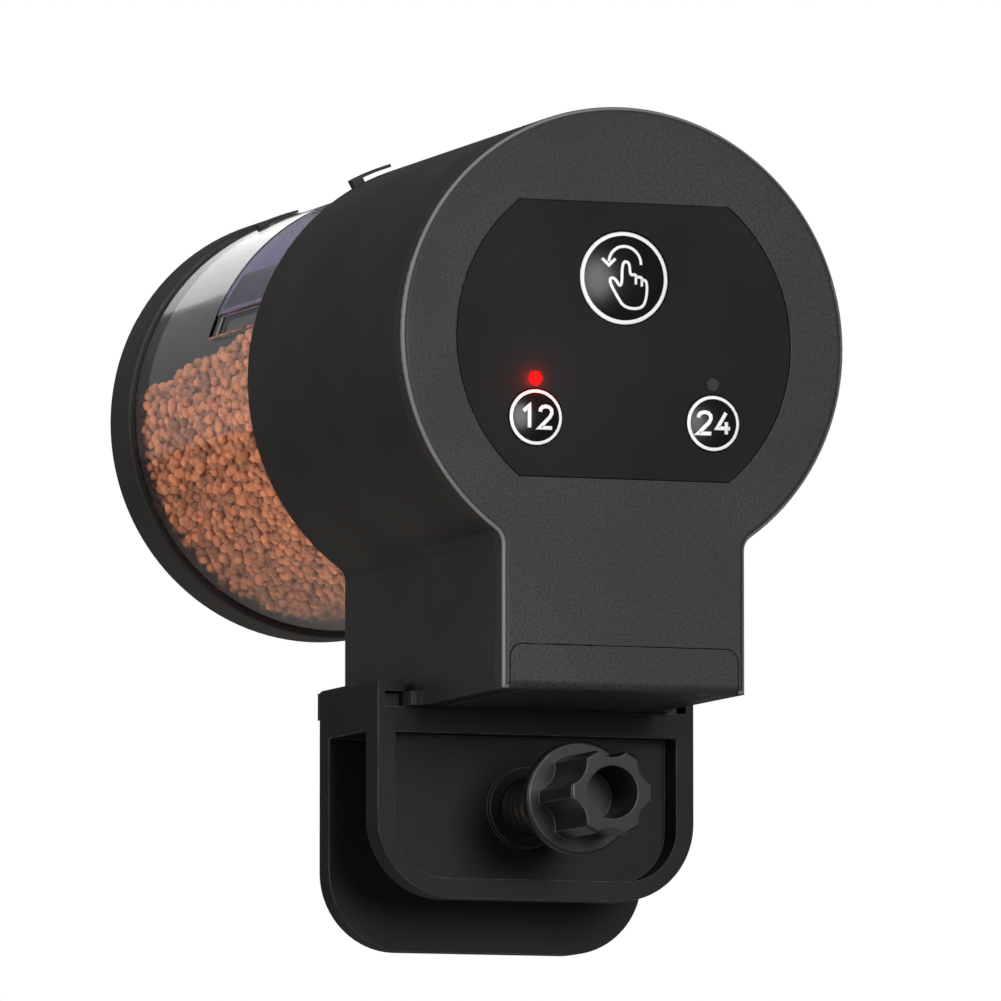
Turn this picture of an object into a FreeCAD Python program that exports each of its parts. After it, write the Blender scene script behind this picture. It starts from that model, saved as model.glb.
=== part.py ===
import FreeCAD, Part
import math
import os
import re

import Sketcher

# An automatic fish feeder that clamps on the rim of an aquarium.
#
# Every piece is drawn in the machine frame: X to the right as seen from the front panel, Y from the
# front panel back along the axis of the food drum, Z up, with the origin where that axis meets the
# front panel.  A Placement then moves each piece to the row frame, whose origin is the middle of the
# bracket's underside, where it sits on the glass.  All lengths are millimetres, all angles degrees.

DIMENSIONS = {
    # where the machine frame lies in the row frame
    "front_face": -51.7,
    "axis_height": 55.5,
    # housing and front cover
    "body_radius": 35,
    "body_depth": 71,
    "wall": 2,
    "cover_depth": 3,
    "cover_round": 1,
    "neck_half": 19.2,
    "neck_drop": 52,
    "neck_round": 2.5,
    "bulkhead_front": 58,
    "bulkhead_rear": 60.4,
    "mouth_radius": 33.9,
    "latch_half": 4,
    # rails under the neck that slide in the bracket
    "rail_front": 35.5,
    "rail_wide_front": 41,
    "rail_tip_half": 21,
    "rail_half": 23.6,
    "rail_top_drop": 49.9,
    "rail_stop_front": 65.4,
    # front panel
    "panel_radius": 26.3,
    "panel_flat": 20.5,
    "panel_depth": 0.6,
    "panel_gap": 0.15,
    "manual_height": 9.4,
    "manual_radius": 7,
    "interval_offset": 14,
    "interval_drop": 11.8,
    "interval_radius": 4.2,
    "lens_drop": 6,
    "lens_radius": 1,
    "button_gap": 0.12,
    "button_dome": 0.55,
    "button_flange": 0.5,
    # control board
    "board_front": 8.4,
    "board_depth": 1.6,
    "board_radius": 29,
    "board_flat": 22,
    "boss_offset": 20,
    "boss_height": 14,
    "boss_drop": 17,
    "boss_radius": 2.4,
    # drive train
    "gear_module": 0.7,
    "gear_teeth": 45,
    "pinion_teeth": 15,
    "tooth_slack": 0.16,
    "gear_front": 52.5,
    "gear_rear": 56,
    "journal_radius": 6,
    "bush_radius": 8,
    "plate_front": 48,
    "plate_rear": 49.6,
    "motor_radius": 9.8,
    "motor_front": 18,
    "motor_screw_offset": 7.9,
    "reducer_front": 38,
    "shaft_radius": 1.5,
    "cam_radius": 9,
    "lever_front": 50.2,
    "lever_rear": 51.9,
    "switch_rear": 55.6,
    "switch_drop": 24.5,
    "switch_top_drop": 18,
    "disc_front": 60.8,
    "disc_rear": 63.2,
    "dog_circle": 16,
    "dog_radius": 2.5,
    # food drum
    "collar_front": 63.5,
    "collar_rear": 65.5,
    "drum_radius": 33.3,
    "drum_wall": 1.5,
    "drum_step": 132.75,
    "drum_end": 139.5,
    "step_radius": 32.65,
    "step_bore": 31.5,
    "slot_front": 77,
    "slot_rear": 98,
    "slot_low": -65.5,
    "slot_high": -54.5,
    "track_low": -74,
    "track_high": -2,
    "track_floor": 32.5,
    "groove_top": 32.95,
    "groove_depth": 1,
    "shutter_high": -24,
    "shutter_gap": 0.1,
    "rib_foot": 3,
    "rib_depth": 1.8,
    "near_rib_front": 73.2,
    "near_rib_low": -29,
    "near_rib_high": -18,
    "near_rib_reach": 36.1,
    "near_rib_thick": 0.5,
    "far_rib_front": 124,
    "far_rib_low": -27,
    "far_rib_high": -15,
    "far_rib_reach": 34.05,
    "far_rib_thick": 0.4,
    "cap_radius": 34,
    "cap_rear": 143.1,
    "cap_bore": 32.8,
    "cap_floor": 2,
    "food_radius": 31.2,
    "food_rear_height": 4.2,
    "food_slope": 5.4,
    # batteries and their door
    "cell_radius": 7.05,
    "cell_front": 8.6,
    "cell_length": 50.5,
    "cell_offset": 7.6,
    "cell_drop": 42.25,
    "bay_floor_drop": 50.2,
    "bay_top_drop": 34.9,
    "door_half": 17.9,
    "door_top_drop": 45.3,
    "door_rear": 57.5,
    "tray_half": 15.2,
    # bracket
    "bracket_front": 38.3,
    "bracket_rear": 65.1,
    "bracket_half": 25.3,
    "bracket_top_drop": 47.9,
    "lip_drop": 49.75,
    "lip_half": 21.1,
    "channel_half": 24.1,
    "bridge_top_drop": 52.1,
    "seat_drop": 55.5,
    "plate_drop": 80.7,
    "plate_depth": 5.2,
    "plate_corner": 12,
    "hook_drop": 87.6,
    "hook_depth": 4.4,
    "recess_half": 22.5,
    "recess_drop": 77.7,
    "recess_depth": 4.9,
    "recess_corner": 8,
    "land_rear": 45.1,
    "land_bevel": 6.5,
    # clamp screw
    "screw_drop": 66.6,
    "screw_radius": 4.4,
    "knob_front": 5.2,
    "knob_radius": 6.6,
    "knob_bore": 3.95,
    "flange_front": 18.9,
    "flange_rear": 21,
    "flange_radius": 8.5,
    "notch_radius": 3.66,
    "notch_circle": 8.86,
    "pad_front": 45.4,
    "pad_depth": 4,
    "pad_radius": 10.5,
    "cushion_depth": 1.2,
    "relief_rear": 51.1,
    "relief_depth": 1.2,
}

# Where the round housing turns into its neck, where the motor's shaft lies above the drum axis, the
# turns of the drive disc's dogs about that axis, and the places of the screws, buttons and lenses.
NECK_MEET = ("neck_half", "-sqrt(body_radius ^ 2 - neck_half ^ 2)")
SHAFT_DISTANCE = "(gear_teeth + pinion_teeth) * gear_module / 2"
DOG_TURNS = (0, 120, 240)
PLATE_SCREWS = [("-15", "22"), ("15", "22"), ("-17", "-12"), ("17", "-12")]
BOARD_SCREWS = [("-boss_offset", "boss_height"), ("-boss_offset", "-boss_drop"),
                ("boss_offset", "boss_height"), ("boss_offset", "-boss_drop")]
BUTTONS = {
    "manual_feed_button": ("0", "manual_height", "manual_radius"),
    "interval_12h_button": ("-interval_offset", "-interval_drop", "interval_radius"),
    "interval_24h_button": ("interval_offset", "-interval_drop", "interval_radius"),
}
LENSES = {"indicator_lens_12h": "-interval_offset", "indicator_lens_24h": "interval_offset"}

doc = FreeCAD.newDocument("FishFeeder")
sheet = doc.addObject("Spreadsheet::Sheet", "Dims")
for row, (alias, size) in enumerate(DIMENSIONS.items(), start=1):
    sheet.set("A%d" % row, alias)
    sheet.set("B%d" % row, str(size))
    sheet.setAlias("B%d" % row, alias)
doc.recompute()

pieces = []


# ---------------------------------------------------------------- formulas and placements

def formula(text):
    """A formula in dimension names, rewritten to read the spreadsheet."""
    def cell(word):
        return "Dims." + word.group() if word.group() in DIMENSIONS else word.group()
    return re.sub(r"[A-Za-z_]\w*", cell, str(text))


def value(text):
    """The number that a formula gives."""
    return float(sheet.evalExpression(formula(text)))


def bind(target, prop, text):
    """Tie one property to a formula."""
    target.setExpression(prop, formula(text))


def keep(piece, label, x="0", y="0", z="0"):
    """Name a finished piece and carry it from the machine frame, plus an offset, to the row frame."""
    if piece.TypeId in ("Part::Box", "Part::Cylinder"):
        piece = group(piece.Name + "Placed", piece)
    piece.Label = label
    bind(piece, "Placement.Base.x", x)
    bind(piece, "Placement.Base.y", "front_face + (%s)" % y)
    bind(piece, "Placement.Base.z", "axis_height + (%s)" % z)
    pieces.append(piece)
    return piece


# ---------------------------------------------------------------- Part primitives and booleans

def box(name, x, y, z):
    """A block between the pairs of limits x, y and z."""
    block = doc.addObject("Part::Box", name)
    for prop, axis, (low, high) in (("Length", "x", x), ("Width", "y", y), ("Height", "z", z)):
        bind(block, prop, "(%s) - (%s)" % (high, low))
        bind(block, "Placement.Base." + axis, low)
    return block


ALONG_Y = FreeCAD.Rotation(FreeCAD.Vector(1, 0, 0), -90)


def rod(name, radius, y, x="0", z="0"):
    """A round bar along Y between two stations."""
    bar = doc.addObject("Part::Cylinder", name)
    bar.Placement.Rotation = ALONG_Y
    bind(bar, "Radius", radius)
    bind(bar, "Height", "(%s) - (%s)" % (y[1], y[0]))
    bind(bar, "Placement.Base.x", x)
    bind(bar, "Placement.Base.y", y[0])
    bind(bar, "Placement.Base.z", z)
    return bar


def fuse(name, *shapes):
    joined = doc.addObject("Part::MultiFuse", name)
    joined.Shapes = list(shapes)
    joined.Refine = True
    return joined


def cut(name, base, *tools):
    result = doc.addObject("Part::Cut", name)
    result.Base = base
    result.Tool = tools[0] if len(tools) == 1 else fuse(name + "Tools", *tools)
    result.Refine = True
    return result


def common(name, first, second):
    shared = doc.addObject("Part::Common", name)
    shared.Base = first
    shared.Tool = second
    shared.Refine = True
    return shared


def group(name, *shapes):
    """Separate solids that share one piece, such as identical screws."""
    bundle = doc.addObject("Part::Compound", name)
    bundle.Links = list(shapes)
    return bundle


def ring(name, outer, inner, y, x="0", z="0"):
    return cut(name, rod(name + "Outer", outer, y, x, z), rod(name + "Bore", inner, y, x, z))


def sector(name, inner, outer, y, low, high):
    """Part of a ring round the drum axis, between two angles from the top towards +X."""
    wedge = rod(name + "Wedge", outer, y)
    turn = FreeCAD.Rotation(FreeCAD.Vector(0, 1, 0), value(low) - 90)
    wedge.Placement.Rotation = turn.multiply(ALONG_Y)
    bind(wedge, "Angle", "(%s) - (%s)" % (high, low))
    return cut(name, wedge, rod(name + "Core", inner, y))


def screw(name, x, z, head, shank, head_radius="2", shank_radius="1.1"):
    """A pan-head screw along Y, with the stations of its head and of its shank."""
    head_disc = rod(name + "Head", head_radius, head, x, z)
    return fuse(name, head_disc, rod(name + "Shank", shank_radius, shank, x, z))


# ---------------------------------------------------------------- PartDesign bodies and sketches

def new_body(label):
    body = doc.addObject("PartDesign::Body", label.title().replace("_", ""))
    body.Label = label
    return body


def sketch(body, name, role="XZ_Plane", at="0"):
    """A sketch across Y at a station (XZ_Plane), or across Z (XY_Plane) or X (YZ_Plane)."""
    plan = body.newObject("Sketcher::SketchObject", name)
    plane = [item for item in body.Origin.OriginFeatures if item.Role == role][0]
    plan.AttachmentSupport = (plane, "")
    plan.MapMode = "FlatFace"
    offset = "-(%s)" % at if role == "XZ_Plane" else at
    bind(plan, "AttachmentOffset.Base.z", offset)
    return plan


def dimension(plan, kind, text, *where):
    """Add a sketch dimension and tie it to its formula."""
    index = plan.addConstraint(Sketcher.Constraint(kind, *where, value(text)))
    bind(plan, "Constraints[%d]" % index, text)


def pin(plan, geometry, end, across, up):
    dimension(plan, "DistanceX", across, geometry, end)
    dimension(plan, "DistanceY", up, geometry, end)


def circle(plan, radius, across="0", up="0"):
    centre = FreeCAD.Vector(value(across), value(up), 0)
    index = plan.addGeometry(Part.Circle(centre, FreeCAD.Vector(0, 0, 1), value(radius)), False)
    dimension(plan, "Radius", radius, index)
    pin(plan, index, 3, across, up)


def polygon(plan, corners):
    """A closed outline through corners given as pairs of formulas."""
    points = [FreeCAD.Vector(value(across), value(up), 0) for across, up in corners]
    count = len(points)
    first = plan.GeometryCount
    for index in range(count):
        plan.addGeometry(Part.LineSegment(points[index], points[(index + 1) % count]), False)
    for index in range(count):
        follower = first + (index + 1) % count
        plan.addConstraint(Sketcher.Constraint("Coincident", first + index, 2, follower, 1))
        pin(plan, first + index, 1, *corners[index])


def rectangle(plan, across, up):
    (left, right), (low, high) = across, up
    polygon(plan, [(left, low), (right, low), (right, high), (left, high)])


def arc(plan, radius, start, end):
    """An arc round the sketch origin, between two angles in radians, tied to its radius."""
    full = Part.Circle(FreeCAD.Vector(0, 0, 0), FreeCAD.Vector(0, 0, 1), value(radius))
    index = plan.addGeometry(Part.ArcOfCircle(full, start, end), False)
    plan.addConstraint(Sketcher.Constraint("Coincident", index, 3, -1, 1))
    dimension(plan, "Radius", radius, index)
    return index


def segment(plan, start, end):
    corners = [FreeCAD.Vector(across, up, 0) for across, up in (start, end)]
    return plan.addGeometry(Part.LineSegment(*corners), False)


def join(plan, *links):
    for first, first_end, second, second_end in links:
        plan.addConstraint(Sketcher.Constraint("Coincident", first, first_end, second, second_end))


def keyhole(plan, radius, half, drop):
    """The housing's outline: a circle on the drum axis with a straight neck below it."""
    big, side, low = value(radius), value(half), value(drop)
    meet = math.sqrt(big * big - side * side)
    tilt = math.atan2(meet, side)
    top = arc(plan, radius, -tilt, math.pi + tilt)
    left = segment(plan, (-side, -meet), (-side, -low))
    foot = segment(plan, (-side, -low), (side, -low))
    right = segment(plan, (side, -low), (side, -meet))
    join(plan, (top, 2, left, 1), (left, 2, foot, 1), (foot, 2, right, 1), (right, 2, top, 1))
    plan.addConstraint(Sketcher.Constraint("Vertical", left))
    plan.addConstraint(Sketcher.Constraint("Vertical", right))
    plan.addConstraint(Sketcher.Constraint("Horizontal", foot))
    pin(plan, left, 2, "-(%s)" % half, "-(%s)" % drop)
    dimension(plan, "DistanceX", half, foot, 2)


def flat_circle(plan, radius, flat):
    """A circle on the drum axis cut off level above and below."""
    big, level = value(radius), value(flat)
    tilt = math.asin(level / big)
    reach = big * math.cos(tilt)
    right = arc(plan, radius, -tilt, tilt)
    left = arc(plan, radius, math.pi - tilt, math.pi + tilt)
    top = segment(plan, (reach, level), (-reach, level))
    foot = segment(plan, (-reach, -level), (reach, -level))
    join(plan, (right, 2, top, 1), (top, 2, left, 1), (left, 2, foot, 1), (foot, 2, right, 1))
    plan.addConstraint(Sketcher.Constraint("Horizontal", top))
    plan.addConstraint(Sketcher.Constraint("Horizontal", foot))
    dimension(plan, "DistanceY", flat, top, 1)
    dimension(plan, "DistanceY", "-(%s)" % flat, foot, 1)


def round_foot(plan, half, low, high, radius):
    """A rectangle about X = 0 whose two lower corners are rounded."""
    inner, lifted = "%s - %s" % (half, radius), "%s + %s" % (low, radius)
    corners = [("-(%s)" % half, high), ("-(%s)" % half, lifted), ("-(%s)" % inner, low),
               (inner, low), (half, lifted), (half, high)]
    points = [(value(across), value(up)) for across, up in corners]
    left, foot, right, top = [segment(plan, points[start], points[end])
                              for start, end in ((0, 1), (2, 3), (4, 5), (5, 0))]
    for line, first, last in ((left, 0, 1), (foot, 2, 3), (right, 4, 5)):
        pin(plan, line, 1, *corners[first])
        pin(plan, line, 2, *corners[last])
    for across, start in (("-(%s)" % inner, math.pi), (inner, 1.5 * math.pi)):
        centre = FreeCAD.Vector(value(across), value(lifted), 0)
        full = Part.Circle(centre, FreeCAD.Vector(0, 0, 1), value(radius))
        corner = plan.addGeometry(Part.ArcOfCircle(full, start, start + math.pi / 2), False)
        dimension(plan, "Radius", radius, corner)
    join(plan, (left, 2, corner - 1, 1), (corner - 1, 2, foot, 1), (foot, 2, corner, 1))
    join(plan, (corner, 2, right, 1), (right, 2, top, 1), (top, 2, left, 1))


def pad(body, plan, length, flip=True):
    """Raise a sketch; flip sends a sketch across Y towards the rear."""
    return extrude(body, plan, "PartDesign::Pad", length, flip, 1)


def pocket(body, plan, depth, flip=False):
    """Sink a sketch; unflipped, a sketch across Y cuts towards the rear."""
    return extrude(body, plan, "PartDesign::Pocket", depth, flip, -1)


def extrude(body, plan, kind, length, flip, sign):
    """Add a pad or pocket, and make sure that it added or took away material."""
    before = body.Tip.Shape.Volume if body.Tip else 0.0
    feature = body.newObject(kind, plan.Name + kind[12:])
    feature.Profile = plan
    feature.Reversed = flip
    bind(feature, "Length", length)
    doc.recompute()
    if feature.Shape.isNull() or sign * (feature.Shape.Volume - before) <= 0:
        raise RuntimeError("%s: %s changed nothing" % (body.Label, feature.Name))
    return feature


def fillet(body, name, radius, choose):
    """Round the edges of the body's tip that choose() picks."""
    tip = body.Tip
    names = ["Edge%d" % (index + 1) for index, edge in enumerate(tip.Shape.Edges) if choose(edge)]
    feature = body.newObject("PartDesign::Fillet", name)
    feature.Base = (tip, names)
    bind(feature, "Radius", radius)
    doc.recompute()
    return feature


def near(first, second):
    return abs(first - second) < 1e-4


def middle(edge):
    return edge.valueAt((edge.FirstParameter + edge.LastParameter) / 2)


def in_plane(axis, station):
    """Chooses the edges that lie in the plane across an axis at a station."""
    def test(edge):
        places = [vertex.Point for vertex in edge.Vertexes] + [middle(edge)]
        return all(near(getattr(place, axis), value(station)) for place in places)
    return test


def along_y(*lines):
    """Chooses the straight edges along Y through the given (x, z) points, on either side of X = 0."""
    def test(edge):
        start, end = edge.Vertexes[0].Point, edge.Vertexes[-1].Point
        if not (near(start.x, end.x) and near(start.z, end.z)) or near(start.y, end.y):
            return False
        return any(near(abs(start.x), value(x)) and near(start.z, value(z)) for x, z in lines)
    return test


def latches(plan, inner, outer, half):
    """Three snap latches' outlines: over the drum axis and at each side of it."""
    rectangle(plan, ("-(%s)" % half, half), (inner, outer))
    rectangle(plan, (inner, outer), ("-(%s)" % half, half))
    rectangle(plan, ("-(%s)" % outer, "-(%s)" % inner), ("-(%s)" % half, half))


# ---------------------------------------------------------------- housing

def main_housing():
    body = new_body("main_housing")
    outline = sketch(body, "HousingOutline", at="cover_depth")
    keyhole(outline, "body_radius", "neck_half", "neck_drop")
    pad(body, outline, "body_depth - cover_depth")
    fillet(body, "HousingNeckRound", "neck_round", along_y(NECK_MEET))

    tube = sketch(body, "HousingTube", at="cover_depth")
    circle(tube, "body_radius - wall")
    pocket(body, tube, "bulkhead_front - cover_depth")
    mouth = sketch(body, "HousingMouth", at="bulkhead_rear")
    circle(mouth, "mouth_radius")
    pocket(body, mouth, "body_depth - bulkhead_rear")
    hub = sketch(body, "HousingHubHole", at="bulkhead_front")
    circle(hub, "bush_radius + 0.02")
    pocket(body, hub, "bulkhead_rear - bulkhead_front")

    bay = sketch(body, "HousingBatteryBay", at="cover_depth")
    rectangle(bay, ("wall - neck_half", "neck_half - wall"), ("-bay_floor_drop", "-bay_top_drop"))
    pocket(body, bay, "body_depth - wall - cover_depth")
    rib = sketch(body, "HousingContactRib", at="cell_front + cell_length + 4.6")
    rectangle(rib, ("wall - neck_half", "neck_half - wall"), ("-bay_floor_drop", "-bay_top_drop"))
    pad(body, rib, "1.5")
    hatch = sketch(body, "HousingDoorOpening", at="cover_depth")
    rectangle(hatch, ("-tray_half - 0.3", "tray_half + 0.3"), ("-neck_drop", "-bay_floor_drop"))
    pocket(body, hatch, "door_rear + 0.3 - cover_depth")
    wires = sketch(body, "HousingWireHole", "XY_Plane", "-bay_top_drop")
    circle(wires, "2.5", "0", "14")
    pocket(body, wires, "bay_top_drop - body_radius + wall + 0.5", flip=True)

    tips = sketch(body, "HousingRailTips", at="rail_front")
    wings = sketch(body, "HousingRails", at="rail_wide_front")
    stops = sketch(body, "HousingRailStops", at="rail_stop_front")
    rail_height = ("-neck_drop", "-rail_top_drop")
    stop_height = ("-rail_top_drop", "-bracket_top_drop")
    for side in ("", "-"):
        rectangle(tips, (side + "neck_half", side + "rail_tip_half"), rail_height)
        rectangle(wings, (side + "neck_half", side + "rail_half"), rail_height)
        rectangle(stops, (side + "neck_half", side + "rail_half"), stop_height)
    pad(body, tips, "body_depth - rail_front")
    pad(body, wings, "body_depth - rail_wide_front")
    pad(body, stops, "body_depth - rail_stop_front")
    fillet(body, "HousingTipRound", "0.8", rail_tip_edge)

    posts = sketch(body, "HousingPosts", at="plate_rear")
    pilots = sketch(body, "HousingPostPilots", at="plate_rear")
    for across, up in PLATE_SCREWS:
        circle(posts, "2.6", across, up)
        circle(pilots, "1.15", across, up)
    pad(body, posts, "bulkhead_front - plate_rear")
    pocket(body, pilots, "7")
    catches = sketch(body, "HousingCatches", at="9.7")
    latches(catches, "body_radius - wall - 0.5", "body_radius - wall + 0.9", "latch_half + 0.6")
    pocket(body, catches, "2.6")
    keep(body, "main_housing")


def rail_tip_edge(edge):
    """The upright outer edge at the front of each rail."""
    start, end = edge.Vertexes[0].Point, edge.Vertexes[-1].Point
    upright = near(start.x, end.x) and near(start.y, end.y)
    return upright and near(start.y, value("rail_front")) and near(abs(start.x), value("rail_tip_half"))


def front_cover():
    body = new_body("front_cover")
    outline = sketch(body, "CoverOutline")
    keyhole(outline, "body_radius", "neck_half", "neck_drop")
    pad(body, outline, "cover_depth")
    fillet(body, "CoverNeckRound", "neck_round", along_y(NECK_MEET))
    fillet(body, "CoverFrontRound", "cover_round", in_plane("y", "0"))

    recess = sketch(body, "CoverPanelRecess")
    flat_circle(recess, "panel_radius + panel_gap", "panel_flat + panel_gap")
    pocket(body, recess, "panel_depth")
    holes = sketch(body, "CoverHoles")
    for across, up, radius in BUTTONS.values():
        circle(holes, radius + " + button_gap", across, up)
    for across in LENSES.values():
        circle(holes, "lens_radius + 0.06", across, "-lens_drop")
    pocket(body, holes, "cover_depth")
    notch = sketch(body, "CoverDoorNotch")
    rectangle(notch, ("-door_half - 0.15", "door_half + 0.15"), ("-neck_drop", "-door_top_drop"))
    pocket(body, notch, "cover_depth")
    fillet(body, "CoverNotchRound", "2", along_y(("door_half + 0.15", "-door_top_drop")))

    rim = sketch(body, "CoverRim", at="cover_depth")
    circle(rim, "body_radius - wall - 0.2")
    circle(rim, "body_radius - wall - 1.6")
    pad(body, rim, "2.5")
    bosses = sketch(body, "CoverBosses", at="cover_depth")
    pilots = sketch(body, "CoverBossPilots", at="board_front")
    for across, up in BOARD_SCREWS:
        circle(bosses, "boss_radius", across, up)
        circle(pilots, "1", across, up)
    pad(body, bosses, "board_front - cover_depth")
    pocket(body, pilots, "4.5", flip=True)
    beams = sketch(body, "CoverLatchBeams", at="cover_depth")
    latches(beams, "body_radius - wall - 1.6", "body_radius - wall - 0.3", "latch_half")
    pad(body, beams, "9.5")
    beads = sketch(body, "CoverLatchBeads", at="10")
    latches(beads, "body_radius - wall - 0.3", "body_radius - wall + 0.6", "latch_half")
    pad(body, beads, "2")
    keep(body, "front_cover")


def panel_overlay():
    body = new_body("panel_overlay")
    outline = sketch(body, "OverlayOutline")
    flat_circle(outline, "panel_radius", "panel_flat")
    pad(body, outline, "panel_depth - 0.02")
    holes = sketch(body, "OverlayHoles")
    for across, up, radius in BUTTONS.values():
        circle(holes, radius + " + button_gap", across, up)
    for across in LENSES.values():
        circle(holes, "lens_radius + 0.06", across, "-lens_drop")
    pocket(body, holes, "panel_depth")
    keep(body, "panel_overlay")


def push_button(label, across, up, radius):
    """A domed cap with a retaining flange behind the cover and a stem for its switch."""
    cap = rod(label + "Cap", radius, ("-button_dome - 1", "cover_depth + 0.35"))
    ball = doc.addObject("Part::Sphere", label + "Ball")
    bind(ball, "Radius", "(%s) * 4" % radius)
    bind(ball, "Placement.Base.y", "(%s) * 4 - button_dome" % radius)
    domed = common(label + "Dome", cap, ball)
    stop = ("cover_depth + 0.3", "cover_depth + 1.1")
    flange = rod(label + "Flange", "(%s) + button_flange" % radius, stop)
    stem = rod(label + "Stem", "1.6", ("cover_depth + 1", "4.55"))
    keep(fuse(label + "Whole", domed, flange, stem), label, x=across, z=up)


def lens(label, across):
    """A light guide that brings its lamp's light to the panel, with a wider foot over the lamp."""
    guide = rod(label + "Guide", "lens_radius", ("0.05", "cover_depth + 2.5"))
    foot = rod(label + "Foot", "lens_radius + 0.5", ("cover_depth + 1.9", "cover_depth + 2.7"))
    keep(fuse(label + "Whole", guide, foot), label, x=across, z="-lens_drop")


# ---------------------------------------------------------------- control board

def control_board():
    body = new_body("control_board")
    outline = sketch(body, "BoardOutline", at="board_front")
    flat_circle(outline, "board_radius", "board_flat")
    pad(body, outline, "board_depth")
    holes = sketch(body, "BoardHoles", at="board_front")
    for across, up in BOARD_SCREWS:
        circle(holes, "1.2", across, up)
    pocket(body, holes, "board_depth")
    keep(body, "control_board")


def board_parts():
    switches = []
    for index, (across, up, _) in enumerate(BUTTONS.values()):
        name = "TactSwitch%d" % index
        case = box(name + "Case", (across + " - 3", across + " + 3"), ("5.6", "board_front"),
                   (up + " - 3", up + " + 3"))
        plunger = rod(name + "Plunger", "1.7", ("5.15", "5.7"), across, up)
        switches.append(fuse(name, case, plunger))
    keep(group("TactSwitches", *switches), "tactile_switches")

    lamps = []
    for index, across in enumerate(LENSES.values()):
        name = "Lamp%d" % index
        case = box(name + "Case", (across + " - 1.6", across + " + 1.6"), ("7.6", "board_front"),
                   ("-lens_drop - 1", "-lens_drop + 1"))
        dome = rod(name + "Dome", "0.7", ("6.9", "7.7"), across, "-lens_drop")
        lamps.append(fuse(name, case, dome))
    keep(group("Lamps", *lamps), "indicator_leds")

    rear = "board_front + board_depth"
    keep(box("Controller", ("-5", "5"), (rear, rear + " + 1.7"), ("-3", "3")), "microcontroller")
    keep(rod("Capacitor", "3", (rear, rear + " + 7"), "-12", "4"), "smoothing_capacitor")
    keep(box("Crystal", ("8", "14"), (rear, rear + " + 2"), ("-1", "1")), "clock_crystal")
    for label, across in (("motor_connector", "6"), ("battery_connector", "-12")):
        shell = box(label + "_shell", (across, across + " + 6"), (rear, rear + " + 6"), ("-18", "-12"))
        well = box(label + "_well", (across + " + 1", across + " + 5"), (rear + " + 1.5", rear + " + 6"),
                   ("-17", "-13"))
        keep(cut(label + "_socket", shell, well), label)

    screws = []
    for index, (across, up) in enumerate(BOARD_SCREWS):
        screws.append(screw("BoardScrew%d" % index, across, up, (rear + " + 0.02", rear + " + 1.4"),
                            (rear + " - 5", rear + " + 0.1"), shank_radius="0.98"))
    keep(group("BoardScrews", *screws), "board_screws")


# ---------------------------------------------------------------- drive train

def toothed_wheel(teeth, phase, bottom, top):
    """A spur wheel with involute teeth, one of them centred on the angle phase, along +Y."""
    count = int(value(teeth))
    module = value("gear_module")
    pitch = count * module / 2
    base = pitch * math.cos(math.radians(20))
    tip = pitch + 0.9 * module
    root = pitch - 1.2 * module
    half_tooth = math.pi / (2 * count) - value("tooth_slack") / (4 * pitch)

    def half_angle(radius):
        """Half a tooth's angle at a radius, from the involute of the base circle."""
        def involute(at):
            pressure = math.acos(min(1.0, base / at))
            return math.tan(pressure) - pressure
        return half_tooth + involute(pitch) - involute(max(radius, base))

    def point(radius, angle):
        return FreeCAD.Vector(radius * math.cos(angle), 0, radius * math.sin(angle))

    start = max(base, root)
    radii = [start + (tip - start) * step / 5 for step in range(6)]
    edges = []
    for index in range(count):
        centre = math.radians(phase) + 2 * math.pi * index / count
        rising = [point(radius, centre - half_angle(radius)) for radius in radii]
        falling = [point(radius, centre + half_angle(radius)) for radius in reversed(radii)]
        foot = point(root, centre - half_angle(start))
        heel = point(root, centre + half_angle(start))
        following = centre + 2 * math.pi / count
        edges += polyline([foot] + rising)
        edges.append(Part.Arc(rising[-1], point(tip, centre), falling[0]).toShape())
        edges += polyline(falling + [heel])
        valley = point(root, centre + math.pi / count)
        edges.append(Part.Arc(heel, valley, point(root, following - half_angle(start))).toShape())
    face = Part.Face(Part.Wire(edges))
    face.translate(FreeCAD.Vector(0, value(bottom), 0))
    return face.extrude(FreeCAD.Vector(0, value(top) - value(bottom), 0))


def polyline(points):
    pairs = zip(points, points[1:])
    return [Part.LineSegment(start, end).toShape() for start, end in pairs if (end - start).Length > 1e-6]


def wheel_feature(name, teeth, phase, bottom, top):
    feature = doc.addObject("Part::Feature", name)
    feature.Shape = toothed_wheel(teeth, phase, bottom, top)
    return feature


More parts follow.
